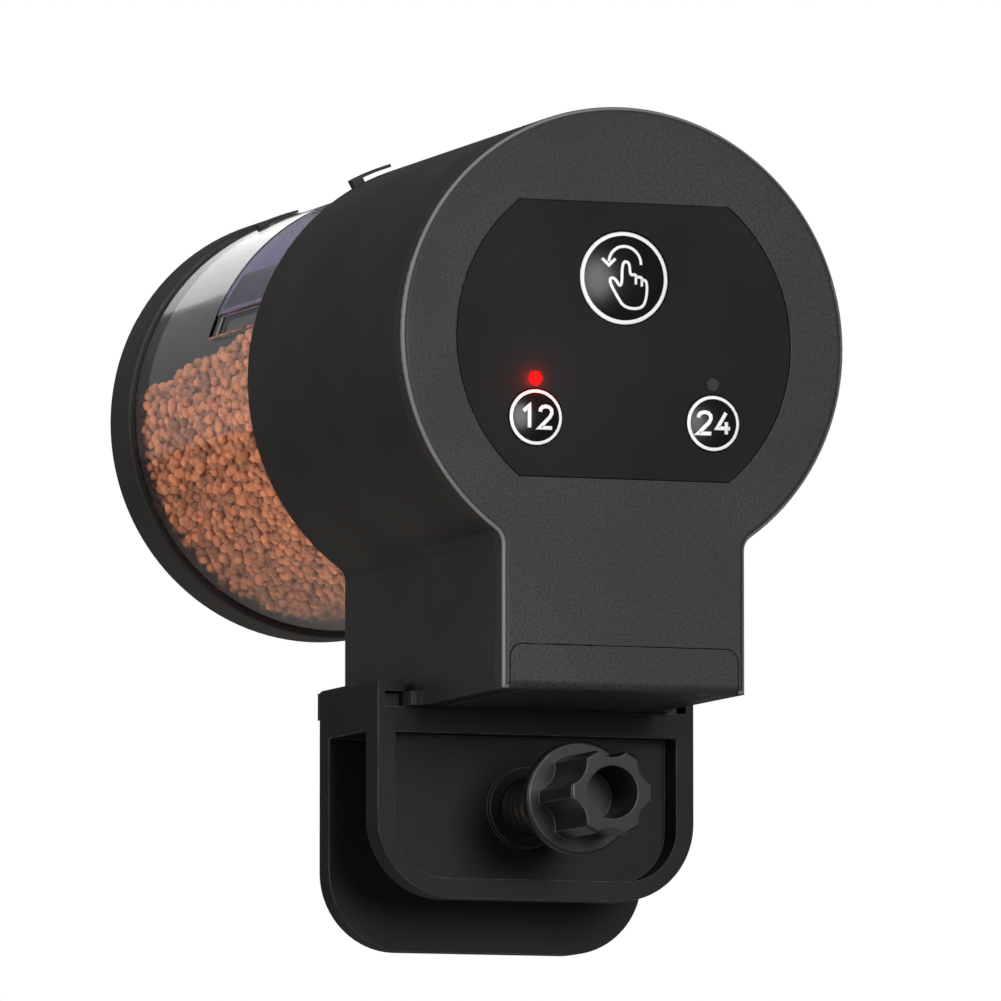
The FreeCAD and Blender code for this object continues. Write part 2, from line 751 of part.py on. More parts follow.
def drive_train():
    half_pitch = 180 / value("gear_teeth")
    wheel = wheel_feature("DriveWheel", "gear_teeth", 90 + half_pitch, "gear_front", "gear_rear")
    stub = rod("DriveStub", "2", ("plate_front - 1.5", "gear_front + 1"))
    journal = rod("DriveJournal", "journal_radius", ("gear_rear - 1", "disc_front"))
    square = box("DriveSquare", ("-3.5", "3.5"), ("disc_front - 1", "disc_rear - 0.9"), ("-3.5", "3.5"))
    gear = cut("DriveGear", fuse("DriveGearSolid", wheel, stub, journal, square),
               rod("DrivePilot", "1.3", ("gear_rear", "disc_rear")))
    keep(gear, "drive_gear")

    blank = ring("CamBlank", "cam_radius", "2.02", ("plate_rear + 0.4", "gear_front - 0.02"))
    notch = box("CamNotch", ("-2.5", "2.5"), ("plate_rear", "gear_front"),
                ("cam_radius - 2.2", "cam_radius + 1"))
    keep(cut("Cam", blank, notch), "index_cam")

    pinion = wheel_feature("PinionWheel", "pinion_teeth", -90, "gear_front - 0.5", "gear_rear + 0.5")
    bore = rod("PinionBore", "shaft_radius + 0.01", ("gear_front - 1", "gear_rear + 1"))
    keep(cut("Pinion", pinion, bore), "motor_pinion", z=SHAFT_DISTANCE)
    shaft = rod("MotorShaft", "shaft_radius", ("plate_front - 4", "gear_rear + 1"))
    keep(shaft, "motor_shaft", z=SHAFT_DISTANCE)
    motor()
    position_switch()

    bush = ("bulkhead_front - 0.4", "bulkhead_rear + 0.2")
    keep(ring("Bush", "bush_radius", "journal_radius + 0.05", bush), "hub_bush")
    plate = rod("DiscPlate", "22", ("disc_front", "disc_rear"))
    dogs = [rod("DiscDog%d" % turn, "dog_radius", ("disc_rear - 0.5", "collar_rear - 0.4"),
                "dog_circle * sin(%d)" % turn, "dog_circle * cos(%d)" % turn) for turn in DOG_TURNS]
    seat = box("DiscSquare", ("-3.55", "3.55"), ("disc_front", "disc_rear - 0.9"), ("-3.55", "3.55"))
    sink = rod("DiscSink", "2.8", ("disc_rear - 1.2", "disc_rear"))
    keep(cut("Disc", fuse("DiscSolid", plate, *dogs), seat, sink), "drive_disc")
    head = ("disc_rear - 0.88", "disc_rear - 0.1")
    shank = ("gear_rear + 0.5", "disc_rear - 0.8")
    fixing = screw("DiscScrew", "0", "0", head, shank, head_radius="2.6", shank_radius="1.25")
    keep(fixing, "drive_disc_screw")


def motor():
    """The flat-sided motor, its sealed reduction gearing, their plate and the screws."""
    can = rod("MotorCanRound", "motor_radius", ("motor_front", "reducer_front"), "0", SHAFT_DISTANCE)
    end = rod("MotorCanBoss", "3", ("motor_front - 1.5", "motor_front + 1"), "0", SHAFT_DISTANCE)
    flats = box("MotorCanFlats", ("-7.7", "7.7"), ("motor_front - 2", "reducer_front"),
                (SHAFT_DISTANCE + " - motor_radius", SHAFT_DISTANCE + " + motor_radius"))
    keep(common("MotorCan", fuse("MotorCanSolid", can, end), flats), "motor_can")

    sides = ("-motor_screw_offset", "motor_screw_offset")
    thick = ("plate_front", "plate_rear")
    case = rod("ReducerCase", "motor_radius", ("reducer_front", "plate_front"), "0", SHAFT_DISTANCE)
    bore = rod("ReducerBore", "shaft_radius + 0.06", ("plate_front - 4.5", "plate_front"),
               "0", SHAFT_DISTANCE)
    pilots = [rod("ReducerPilot%d" % index, "0.9", ("plate_front - 3", "plate_front"), side, SHAFT_DISTANCE)
              for index, side in enumerate(sides)]
    keep(cut("Reducer", case, bore, *pilots), "gear_reducer")

    disc = rod("MotorPlateDisc", "31", thick)
    trim = box("MotorPlateTrim", ("-20", "20"), thick, ("-16", "31"))
    holes = [rod("MotorPlateHole%d" % index, "1.4", thick, across, up)
             for index, (across, up) in enumerate(PLATE_SCREWS)]
    holes += [rod("MotorPlateMount%d" % index, "1", thick, side, SHAFT_DISTANCE)
              for index, side in enumerate(sides)]
    holes.append(rod("MotorPlateStubHole", "2.06", thick))
    holes.append(rod("MotorPlateShaftHole", "3", thick, "0", SHAFT_DISTANCE))
    keep(cut("MotorPlate", common("MotorPlateBlank", disc, trim), *holes), "motor_plate")

    screws = [screw("PlateScrew%d" % index, across, up, ("plate_front - 1.4", "plate_front - 0.02"),
                    ("plate_front - 0.1", "plate_rear + 6"), head_radius="2.2")
              for index, (across, up) in enumerate(PLATE_SCREWS)]
    keep(group("PlateScrews", *screws), "motor_plate_screws")
    screws = [screw("MotorScrew%d" % index, side, SHAFT_DISTANCE, ("plate_rear + 0.02", "plate_rear + 1"),
                    ("plate_front - 2.5", "plate_rear + 0.1"), head_radius="1.6", shank_radius="0.85")
              for index, side in enumerate(sides)]
    keep(group("MotorScrews", *screws), "motor_screws")


def position_switch():
    """The switch that stops the drum after each turn, and the lever that follows the cam."""
    case = box("SwitchCase", ("-6.5", "6.5"), ("plate_rear + 0.02", "switch_rear"),
               ("-switch_drop", "-switch_top_drop"))
    keep(case, "position_switch")
    width = ("lever_front", "lever_rear")
    strip = box("LeverStrip", ("-6", "1.5"), width, ("-switch_top_drop + 0.02", "-switch_top_drop + 0.5"))
    riser = box("LeverRiser", ("0.9", "1.5"), width, ("-switch_top_drop + 0.3", "-cam_radius - 1"))
    tip = rod("LeverTip", "0.8", width, "1.2", "-cam_radius - 1.2")
    keep(fuse("Lever", strip, riser, tip), "switch_lever")


# ---------------------------------------------------------------- food drum

def food_drum():
    keep(ring("MouthSeal", "29", "26", ("bulkhead_rear + 0.02", "collar_front - 0.5")), "mouth_seal")

    plate = rod("CollarPlate", "drum_radius", ("collar_front", "collar_rear"))
    spigot = ring("CollarSpigot", "drum_radius - drum_wall - 0.1", "drum_radius - drum_wall - 1.5",
                  ("collar_rear - 0.5", "collar_rear + 3"))
    floor = rod("CollarFloor", "20", ("collar_rear - 0.5", "collar_rear + 1.4"))
    sockets = [rod("CollarSocket%d" % turn, "dog_radius + 0.15", ("collar_front", "collar_rear"),
                   "dog_circle * sin(%d)" % turn, "dog_circle * cos(%d)" % turn) for turn in DOG_TURNS]
    keep(cut("Collar", fuse("CollarSolid", plate, spigot, floor), *sockets), "drum_collar")

    tube = rod("BarrelTube", "drum_radius", ("collar_rear + 0.02", "drum_step"))
    step = rod("BarrelStep", "step_radius", ("drum_step - 1", "drum_end"))
    bore = rod("BarrelBore", "drum_radius - drum_wall", ("collar_rear", "drum_step"))
    small = rod("BarrelStepBore", "step_bore", ("drum_step - 0.5", "drum_end"))
    slot = sector("BarrelSlot", "drum_radius - drum_wall - 1", "drum_radius + 1", ("slot_front", "slot_rear"),
                  "slot_low", "slot_high")
    hollow = cut("BarrelHollow", fuse("BarrelSolid", tube, step), bore, small)
    well = sector("TrackWell", "track_floor", "drum_radius + 1", ("slot_front - 0.8", "slot_rear + 0.8"),
                  "track_low", "track_high")
    groove_span = ("slot_front - 0.8 - groove_depth", "slot_rear + 0.8 + groove_depth")
    groove = sector("TrackGroove", "track_floor", "groove_top", groove_span, "track_low", "track_high")
    keep(cut("Barrel", hollow, slot, well, groove), "drum_barrel")

    keep(outlet_shutter(), "outlet_shutter")
    near_rib = grip_rib("NearRib", "near_rib")
    far_rib = grip_rib("FarRib", "far_rib")
    keep(group("GripRibs", near_rib, far_rib), "drum_grip_ribs")


def outlet_shutter():
    """A curved shutter that lies flush in its track, with a flange in the track's two grooves."""
    inner = "track_floor + shutter_gap"
    low = "slot_low - 2"
    flange_span = ("slot_front - 0.6 - groove_depth", "slot_rear + 0.6 + groove_depth")
    flange = sector("ShutterFlange", inner, "groove_top - shutter_gap", flange_span, low, "shutter_high")
    face_span = ("slot_front - 0.6", "slot_rear + 0.6")
    face = sector("ShutterFace", inner, "drum_radius - shutter_gap", face_span, low, "shutter_high")
    solid = fuse("ShutterSolid", flange, face)
    grip_span = ("slot_front + 4", "slot_rear - 4")
    grips = []
    for below in (3, 5, 7):
        angles = ("shutter_high - %d" % below, "shutter_high - %d" % (below - 1))
        grips.append(sector("ShutterGrip%d" % below, "drum_radius - 0.3", "drum_radius", grip_span, *angles))
    return cut("Shutter", solid, *grips)


def grip_rib(name, dims):
    """A thin arched rib round the drum's upper side, raised on a foot at its lower end."""
    front, low, high, reach = dims + "_front", dims + "_low", dims + "_high", dims + "_reach"
    span = (front, front + " + rib_depth")
    band = sector(name + "Band", reach + " - " + dims + "_thick", reach, span, low, high)
    foot = sector(name + "Foot", "drum_radius + 0.02", reach, span, low, low + " + rib_foot")
    return fuse(name, band, foot)


def end_cap():
    body = new_body("end_cap")
    disc = sketch(body, "CapDisc", at="drum_step + 0.1")
    circle(disc, "cap_radius")
    pad(body, disc, "cap_rear - drum_step - 0.1")
    fillet(body, "CapRearRound", "1.4", in_plane("y", "cap_rear"))
    fillet(body, "CapFrontRound", "0.4", in_plane("y", "drum_step + 0.1"))
    bore = sketch(body, "CapBore", at="drum_step + 0.1")
    circle(bore, "cap_bore")
    pocket(body, bore, "cap_rear - cap_floor - drum_step - 0.1")
    dish = sketch(body, "CapDish", at="cap_rear")
    circle(dish, "22")
    pocket(body, dish, "0.9", flip=True)
    bar = sketch(body, "CapGripBar", at="cap_rear - 1")
    rectangle(bar, ("-3", "3"), ("-21.5", "21.5"))
    pad(body, bar, "1")
    keep(body, "end_cap")
    gasket = ring("CapGasket", "step_radius", "step_bore", ("drum_end + 0.05", "cap_rear - cap_floor - 0.02"))
    keep(gasket, "cap_gasket")


def fish_food():
    """The bed of pellets as one closed solid, with the sloping top that the pellets take."""
    bed = rod("FoodBed", "food_radius", ("collar_rear + 3.6", "drum_end - 0.5"))
    above = doc.addObject("Part::Box", "FoodAbove")
    bind(above, "Length", "80")
    bind(above, "Width", "100")
    bind(above, "Height", "50")
    above.Placement.Rotation = FreeCAD.Rotation(FreeCAD.Vector(1, 0, 0), -value("food_slope"))
    bind(above, "Placement.Base.x", "-40")
    bind(above, "Placement.Base.y", "drum_end - 90 * cos(food_slope)")
    bind(above, "Placement.Base.z", "food_rear_height + 90 * sin(food_slope)")
    keep(cut("Food", bed, above), "fish_food")


# ---------------------------------------------------------------- batteries and door

def battery(label, across, nub_at_rear):
    start, end = "cell_front", "cell_front + cell_length"
    body = (start, end + " - 1.5") if nub_at_rear else (start + " + 1.5", end)
    nub = (end + " - 1.6", end) if nub_at_rear else (start, start + " + 1.6")
    can = rod(label + "Can", "cell_radius", body, across, "-cell_drop")
    keep(fuse(label + "Whole", can, rod(label + "Nub", "2.75", nub, across, "-cell_drop")), label)


def contact_spring(name, across, stations):
    """A conical contact spring as stacked turns on a short rib."""
    radii = ("5", "4.2", "3.4")
    turns = []
    for index, (radius, station) in enumerate(zip(radii, stations)):
        turn = doc.addObject("Part::Torus", "%sTurn%d" % (name, index))
        turn.Placement.Rotation = ALONG_Y
        bind(turn, "Radius1", radius)
        bind(turn, "Radius2", "0.45")
        bind(turn, "Placement.Base.x", across)
        bind(turn, "Placement.Base.y", station)
        bind(turn, "Placement.Base.z", "-cell_drop")
        turns.append(turn)
    low, high = sorted((stations[0], stations[-1]), key=value)
    rib = box(name + "Rib", (across + " - 0.4", across + " + 0.4"), (low, high),
              ("-cell_drop + 3", "-cell_drop + 5.2"))
    return fuse(name, rib, *turns)


def battery_parts():
    battery("battery_left", "-cell_offset", True)
    battery("battery_right", "cell_offset", False)
    rear = "cell_front + cell_length"
    front_spring = contact_spring("FrontSpring", "-cell_offset", ("5", "6.5", "8"))
    rear_turns = (rear + " + 3.4", rear + " + 2", rear + " + 0.6")
    rear_spring = contact_spring("RearSpring", "cell_offset", rear_turns)
    keep(group("Springs", front_spring, rear_spring), "battery_springs")
    span = ("-cell_drop - 5.5", "-cell_drop + 5.5")
    plate = box("FrontContactPlate", ("-14", "14"), ("3.9", "4.4"), span)
    button = rod("FrontContactButton", "3.5", ("4.3", "cell_front - 0.1"), "cell_offset", "-cell_drop")
    keep(fuse("FrontContact", plate, button), "front_battery_contact")
    plate = box("RearContactPlate", ("-14", "14"), (rear + " + 4", rear + " + 4.5"), span)
    button = rod("RearContactButton", "3.5", (rear + " + 0.1", rear + " + 4.1"), "-cell_offset", "-cell_drop")
    keep(fuse("RearContact", plate, button), "rear_battery_contact")


def battery_door():
    body = new_body("battery_door")
    lip = sketch(body, "DoorLip", at="0")
    rectangle(lip, ("-door_half", "door_half"), ("-neck_drop", "-door_top_drop - 0.15"))
    pad(body, lip, "cover_depth - 0.2")
    tray = sketch(body, "DoorTray", at="cover_depth - 0.4")
    rectangle(tray, ("-tray_half", "tray_half"), ("-neck_drop", "-bay_floor_drop + 0.1"))
    pad(body, tray, "door_rear - cover_depth + 0.4")
    wings = sketch(body, "DoorWings", at="cover_depth + 3")
    wing_height = ("-bay_floor_drop + 0.1", "-bay_floor_drop + 0.65")
    rectangle(wings, ("-tray_half - 1.6", "tray_half + 1.6"), wing_height)
    pad(body, wings, "door_rear - cover_depth - 3")
    fillet(body, "DoorTopRound", "1.9", along_y(("door_half", "-door_top_drop - 0.15")))
    fillet(body, "DoorFootRound", "1.3", door_foot_edge)
    ribs = sketch(body, "DoorGripGrooves", "XY_Plane", "-neck_drop")
    for index in range(5):
        start = 8 + 2.4 * index
        rectangle(ribs, ("-8", "8"), (str(start), str(start + 1.1)))
    pocket(body, ribs, "0.4", flip=True)
    keep(body, "battery_door")


def door_foot_edge(edge):
    """The door's lower front edge, where the lip turns under the neck."""
    return in_plane("y", "0")(edge) and in_plane("z", "-neck_drop")(edge)


# ---------------------------------------------------------------- bracket and clamp

def clamp_bracket():
    body = new_body("clamp_bracket")
    channel = sketch(body, "BracketChannel", at="bracket_front")
    right = [("channel_half", "-bridge_top_drop"), ("channel_half", "-lip_drop"),
             ("lip_half", "-lip_drop"), ("lip_half", "-bracket_top_drop"),
             ("bracket_half", "-bracket_top_drop"), ("bracket_half", "-seat_drop")]
    left = [("-" + across, up) for across, up in reversed(right)]
    polygon(channel, right + left)
    pad(body, channel, "bracket_rear - bracket_front")
    fillet(body, "BracketTopRound", "0.6", along_y(("bracket_half", "-bracket_top_drop")))

    plate = sketch(body, "BracketPlate", at="bracket_front")
    round_foot(plate, "bracket_half", "-plate_drop", "-seat_drop", "plate_corner")
    pad(body, plate, "plate_depth")
    hook = sketch(body, "BracketHook", at="bracket_rear - hook_depth")
    round_foot(hook, "bracket_half", "-hook_drop", "-seat_drop", "plate_corner")
    pad(body, hook, "hook_depth")

    land = sketch(body, "BracketLand", at="bracket_front + plate_depth")
    side, foot = "recess_half + 1.2", "recess_drop + 1"
    right = [("%s - land_bevel" % side, "-(%s)" % foot), (side, "land_bevel - (%s)" % foot),
             (side, "-seat_drop")]
    left = [("-(%s)" % across, up) for across, up in reversed(right)]
    polygon(land, right + left)
    pad(body, land, "land_rear - bracket_front - plate_depth")
    recess = sketch(body, "BracketRecess", at="bracket_front")
    round_foot(recess, "recess_half", "-recess_drop", "-seat_drop - 0.4", "recess_corner")
    pocket(body, recess, "recess_depth")
    boss = sketch(body, "BracketBoss", at="bracket_front + recess_depth - 1.2")
    circle(boss, "6.1", "0", "-screw_drop")
    pad(body, boss, "1.5")
    thread = sketch(body, "BracketThread", at="bracket_front")
    circle(thread, "screw_radius + 0.08", "0", "-screw_drop")
    pocket(body, thread, "land_rear - bracket_front")
    relief = sketch(body, "BracketPadRelief", "XY_Plane", "-seat_drop")
    rectangle(relief, ("-pad_radius - 1.5", "pad_radius + 1.5"), ("land_rear", "relief_rear"))
    pocket(body, relief, "relief_depth", flip=True)
    keep(body, "clamp_bracket")


def clamp_parts():
    body = new_body("clamp_knob")
    grip = sketch(body, "KnobGrip", at="knob_front")
    circle(grip, "knob_radius")
    pad(body, grip, "flange_front - knob_front + 1")
    fillet(body, "KnobFrontRound", "0.5", in_plane("y", "knob_front"))
    notches = sketch(body, "KnobNotches", at="knob_front")
    for turn in range(0, 360, 60):
        circle(notches, "notch_radius", "notch_circle * sin(%d)" % turn, "notch_circle * cos(%d)" % turn)
    pocket(body, notches, "flange_front - knob_front + 1")
    flange = sketch(body, "KnobFlange", at="flange_front")
    circle(flange, "flange_radius")
    pad(body, flange, "flange_rear - flange_front")
    collar = sketch(body, "KnobCollar", at="flange_rear")
    circle(collar, "5.4")
    pad(body, collar, "2")
    fillet(body, "KnobFlangeRound", "0.45", knob_flange_edge)
    core = sketch(body, "KnobBore", at="knob_front")
    circle(core, "knob_bore")
    pocket(body, core, "11")
    socket = sketch(body, "KnobSocket", at="flange_rear + 2")
    circle(socket, "screw_radius + 0.02")
    pocket(body, socket, "3", flip=True)
    keep(body, "clamp_knob", z="-screw_drop")

    shank = rod("ScrewShank", "screw_radius", ("flange_rear - 0.95", "pad_front - 0.1"))
    neck = rod("ScrewNeck", "2", ("pad_front - 0.2", "pad_front + 1.3"))
    head = rod("ScrewHead", "3", ("pad_front + 1.2", "pad_front + 2.8"))
    keep(fuse("Screw", shank, neck, head), "clamp_screw", z="-screw_drop")

    disc = rod("PadDisc", "pad_radius", ("pad_front", "pad_front + pad_depth"))
    throat = rod("PadThroat", "2.15", ("pad_front", "pad_front + 2"))
    cavity = rod("PadCavity", "3.15", ("pad_front + 1.05", "pad_front + 2.95"))
    keep(cut("Pad", disc, throat, cavity), "clamp_pad", z="-screw_drop")
    pad_rear = "pad_front + pad_depth"
    cushion = rod("Cushion", "pad_radius - 0.6", (pad_rear + " + 0.02", pad_rear + " + cushion_depth"))
    keep(cushion, "pad_cushion", z="-screw_drop")


def knob_flange_edge(edge):
    """The two outer edges of the knob's flange."""
    return hasattr(edge.Curve, "Radius") and near(edge.Curve.Radius, value("flange_radius"))


# ---------------------------------------------------------------- assembly

main_housing()
front_cover()
panel_overlay()
for button_label, (button_x, button_z, button_radius) in BUTTONS.items():
    push_button(button_label, button_x, button_z, button_radius)
for lens_label, lens_x in LENSES.items():
    lens(lens_label, lens_x)
control_board()
board_parts()
drive_train()
food_drum()
end_cap()
fish_food()
battery_parts()
battery_door()
clamp_bracket()
clamp_parts()
doc.recompute()

failed = [item.Label for item in doc.Objects if "Invalid" in item.State or "Error" in item.State]
failed += [piece.Label for piece in pieces if piece.Shape.isNull() or not piece.Shape.isValid()]
if failed:
    raise RuntimeError("failed: " + ", ".join(failed))

os.makedirs("parts", exist_ok=True)
for piece in pieces:
    piece.Shape.exportStep("parts/%s.step" % piece.Label)
    limits = piece.Shape.BoundBox
    print("%-24s solids %d  x %6.1f %6.1f  y %6.1f %6.1f  z %6.1f %6.1f  volume %9.1f" % (
        piece.Label, len(piece.Shape.Solids), limits.XMin, limits.XMax, limits.YMin, limits.YMax,
        limits.ZMin, limits.ZMax, piece.Shape.Volume))
print("%d pieces" % len(pieces))
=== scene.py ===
import math
import random

import bmesh
import bpy
from mathutils import Matrix, Vector, noise


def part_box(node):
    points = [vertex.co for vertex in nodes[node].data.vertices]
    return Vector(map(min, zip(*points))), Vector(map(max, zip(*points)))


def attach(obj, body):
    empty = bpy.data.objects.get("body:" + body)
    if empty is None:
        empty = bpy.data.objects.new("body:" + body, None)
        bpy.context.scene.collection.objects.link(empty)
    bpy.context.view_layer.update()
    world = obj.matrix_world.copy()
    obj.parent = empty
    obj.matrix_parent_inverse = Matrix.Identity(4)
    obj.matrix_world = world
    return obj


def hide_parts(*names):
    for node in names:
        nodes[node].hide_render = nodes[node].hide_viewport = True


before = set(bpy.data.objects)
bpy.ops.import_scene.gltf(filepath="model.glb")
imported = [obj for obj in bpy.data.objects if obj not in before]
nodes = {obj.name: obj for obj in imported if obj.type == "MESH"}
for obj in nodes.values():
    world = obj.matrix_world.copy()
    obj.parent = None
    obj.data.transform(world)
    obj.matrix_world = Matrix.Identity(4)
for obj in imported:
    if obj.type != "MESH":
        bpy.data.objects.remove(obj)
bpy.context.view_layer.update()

MM = 0.001
scene = bpy.context.scene
random.seed(7)
noise.seed_set(7)

# The feeder hangs on a tank's rim, so the floor lies well below it and below the camera.
FLOOR_HEIGHT = -0.2
CAMERA_TURN = -19.81
CAMERA_LIFT = -5.30
CAMERA_RANGE = 1.7774
CAMERA_AIM = Vector((-0.0165, -0.0433, 0.0320))
CAMERA_LENS = 431.57
SENSOR_WIDTH = 36.0

THREAD_PITCH = 2.5 * MM
THREAD_DEPTH = 0.5 * MM
PRINT_HEIGHT = 0.02 * MM
WHITE_RING = 0.62 * MM
RING_MARGIN = 0.08 * MM
BUTTON_FLANGE = 0.5 * MM
# The radius of a button's dome, in radii of the button.
DOME_RATIO = 4
FLOOR_REACH = 6
BALL_SIZE = 1.12 * MM
BALL_SPACING = 1.95 * MM
FOOD_SLOPE = math.tan(math.radians(5.4))
FOOD_PIECES = ("food_bed", "food_wall_granules", "food_top_granules", "food_rear_granules")
# Waves per metre of the drift in a moulding's tone, and of the patches along its paler edges, which are
# partly scuffing and partly a painted edge highlight.
DRIFT_SCALE = 45.0
EDGE_PATCH_SCALE = 400.0
COVER_TONE = (0.0265, 0.0265, 0.0272)
STEEL_TONE = (0.6, 0.6, 0.58)
JACKET_BLACK = (0.02, 0.02, 0.022)
JACKET_COPPER = (0.5, 0.26, 0.07)
BUTTONS = {"manual_feed_button": "manual_button",
           "interval_12h_button": "button_12h",
           "interval_24h_button": "button_24h"}

# Digits as strokes in a cell one wide and 1.6 high.
DIGITS = {
    "1": [[(0.2, 1.22), (0.66, 1.6), (0.66, 0)]],
    "2": [[(0.02, 1.18), (0.06, 1.38), (0.22, 1.54), (0.5, 1.6), (0.78, 1.54), (0.95, 1.36), (0.96, 1.1),
           (0.8, 0.82), (0, 0.02), (1, 0.02)]],
    "4": [[(0.72, 1.6), (0, 0.44), (1.05, 0.44)], [(0.74, 0.92), (0.74, 0)]],
}


# ---------------------------------------------------------------- studio

def direction(turn, lift):
    """The unit vector towards an azimuth, from -Y towards +X, and an elevation, in degrees."""
    turn, lift = math.radians(turn), math.radians(lift)
    return Vector((math.sin(turn) * math.cos(lift), -math.cos(turn) * math.cos(lift), math.sin(lift)))


def look(obj, place, target):
    obj.location = place
    obj.rotation_euler = (target - place).to_track_quat("-Z", "Y").to_euler()


def add_camera():
    data = bpy.data.cameras.new("camera")
    data.lens = CAMERA_LENS
    data.sensor_width = SENSOR_WIDTH
    data.clip_end = 20
    camera = bpy.data.objects.new("camera", data)
    scene.collection.objects.link(camera)
    look(camera, CAMERA_AIM + direction(CAMERA_TURN, CAMERA_LIFT) * CAMERA_RANGE, CAMERA_AIM)
    scene.camera = camera


def add_softbox(name, turn, lift, reach, width, height, power, spread_angle=180, colour=(1, 1, 1)):
    data = bpy.data.lights.new(name, "AREA")
    data.shape = "ELLIPSE"
    data.size = width
    data.size_y = height
    data.energy = power
    data.spread = math.radians(spread_angle)
    data.color = colour
    lamp = bpy.data.objects.new(name, data)
    scene.collection.objects.link(lamp)
    low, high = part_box("main_housing")
    centre = (low + high) / 2
    look(lamp, centre + direction(turn, lift) * reach, centre)
    lamp.visible_camera = False
    return lamp


def light_only(lamp, *objects):
    """The lamp reaches only these objects."""
    reached = bpy.data.collections.new(lamp.name + "_reaches")
    for obj in objects:
        reached.objects.link(obj)
    lamp.light_linking.receiver_collection = reached


def add_world(strength):
    """Even light, weaker than the white seen behind the feeder and through its clear drum."""
    world = bpy.data.worlds.new("studio")
    world.use_nodes = True
    tree = world.node_tree
    light = tree.nodes["Background"]
    light.inputs["Color"].default_value = (1.0, 0.985, 0.97, 1)
    light.inputs["Strength"].default_value = strength
    shown = tree.nodes.new("ShaderNodeBackground")
    shown.inputs["Color"].default_value = (1, 1, 1, 1)
    mixer = tree.nodes.new("ShaderNodeMixShader")
    path = tree.nodes.new("ShaderNodeLightPath")
    seen = tree.nodes.new("ShaderNodeMath")
    seen.operation = "MAXIMUM"
    tree.links.new(path.outputs["Is Camera Ray"], seen.inputs[0])
    tree.links.new(path.outputs["Is Transmission Ray"], seen.inputs[1])
    tree.links.new(seen.outputs[0], mixer.inputs[0])
    tree.links.new(light.outputs[0], mixer.inputs[1])
    tree.links.new(shown.outputs[0], mixer.inputs[2])
    tree.links.new(mixer.outputs[0], tree.nodes["World Output"].inputs[0])
    scene.world = world
    scene.view_settings.view_transform = "Standard"


# ---------------------------------------------------------------- material nodes

def new_material(name):
    material = bpy.data.materials.new(name)
    material.use_nodes = True
    return material, material.node_tree, material.node_tree.nodes["Principled BSDF"]


def feed(tree, socket, source):
    """Link a socket, or set its constant."""
    if isinstance(source, bpy.types.NodeSocket):
        tree.links.new(source, socket)
    elif isinstance(source, tuple):
        socket.default_value = (*source, 1)
    else:
        socket.default_value = source


def object_place(tree, stretch=(1, 1, 1)):
    place = tree.nodes.new("ShaderNodeTexCoord")
    scaler = tree.nodes.new("ShaderNodeMapping")
    scaler.inputs["Scale"].default_value = stretch
    tree.links.new(place.outputs["Object"], scaler.inputs["Vector"])
    return scaler.outputs[0]


def noise_texture(tree, scale, detail=2.0, stretch=(1, 1, 1)):
    """Noise in the object's own coordinates; scale is in waves per metre."""
    texture = tree.nodes.new("ShaderNodeTexNoise")
    texture.inputs["Scale"].default_value = scale
    texture.inputs["Detail"].default_value = detail
    tree.links.new(object_place(tree, stretch), texture.inputs["Vector"])
    return texture.outputs["Fac"]


def spread(tree, source, low, high, start=0.3, end=0.7):
    """Map a value's range from start to end onto low to high."""
    ranger = tree.nodes.new("ShaderNodeMapRange")
    for name, setting in (("From Min", start), ("From Max", end), ("To Min", low), ("To Max", high)):
        ranger.inputs[name].default_value = setting
    tree.links.new(source, ranger.inputs["Value"])
    return ranger.outputs[0]


def times(tree, first, second):
    node = tree.nodes.new("ShaderNodeMath")
    node.operation = "MULTIPLY"
    feed(tree, node.inputs[0], first)
    feed(tree, node.inputs[1], second)
    return node.outputs[0]


def blended(tree, factor, first, second):
    """A colour that runs from first to second; each may be a colour or a socket."""
    mixer = tree.nodes.new("ShaderNodeMix")
    mixer.data_type = "RGBA"
    colour_a, colour_b = [socket for socket in mixer.inputs if socket.type == "RGBA"]
    feed(tree, mixer.inputs["Factor"], factor)
    feed(tree, colour_a, first)
    feed(tree, colour_b, second)
    return next(socket for socket in mixer.outputs if socket.type == "RGBA")


def shade(colour, factor):
    return tuple(min(1.0, channel * factor) for channel in colour)


def rounded_edges(tree, radius):
    """The normal over edges rounded to a radius, and how far it leans from the flat face."""
    bevel = tree.nodes.new("ShaderNodeBevel")
    bevel.samples = 6
    bevel.inputs["Radius"].default_value = radius
    face = tree.nodes.new("ShaderNodeNewGeometry")
    lean = tree.nodes.new("ShaderNodeVectorMath")
    lean.operation = "DOT_PRODUCT"
    tree.links.new(bevel.outputs["Normal"], lean.inputs[0])
    tree.links.new(face.outputs["Normal"], lean.inputs[1])
    return bevel.outputs["Normal"], spread(tree, lean.outputs["Value"], 1, 0, 0.8, 0.99)


def rounding(tree):
    """One on surfaces that lean between facing along Y and facing across it, else nought."""
    face = tree.nodes.new("ShaderNodeTexCoord")
    split = tree.nodes.new("ShaderNodeSeparateXYZ")
    size = tree.nodes.new("ShaderNodeMath")
    size.operation = "ABSOLUTE"
    tree.links.new(face.outputs["Normal"], split.inputs[0])
    tree.links.new(split.outputs["Y"], size.inputs[0])
    return times(tree, spread(tree, size.outputs[0], 0, 1, 0.35, 0.5),
                 spread(tree, size.outputs[0], 1, 0, 0.8, 0.92))


def bump(tree, shader, height, depth, normal=None):
    node = tree.nodes.new("ShaderNodeBump")
    node.inputs["Distance"].default_value = depth
    tree.links.new(height, node.inputs["Height"])
    if normal:
        tree.links.new(normal, node.inputs["Normal"])
    tree.links.new(node.outputs["Normal"], shader.inputs["Normal"])


# ---------------------------------------------------------------- materials

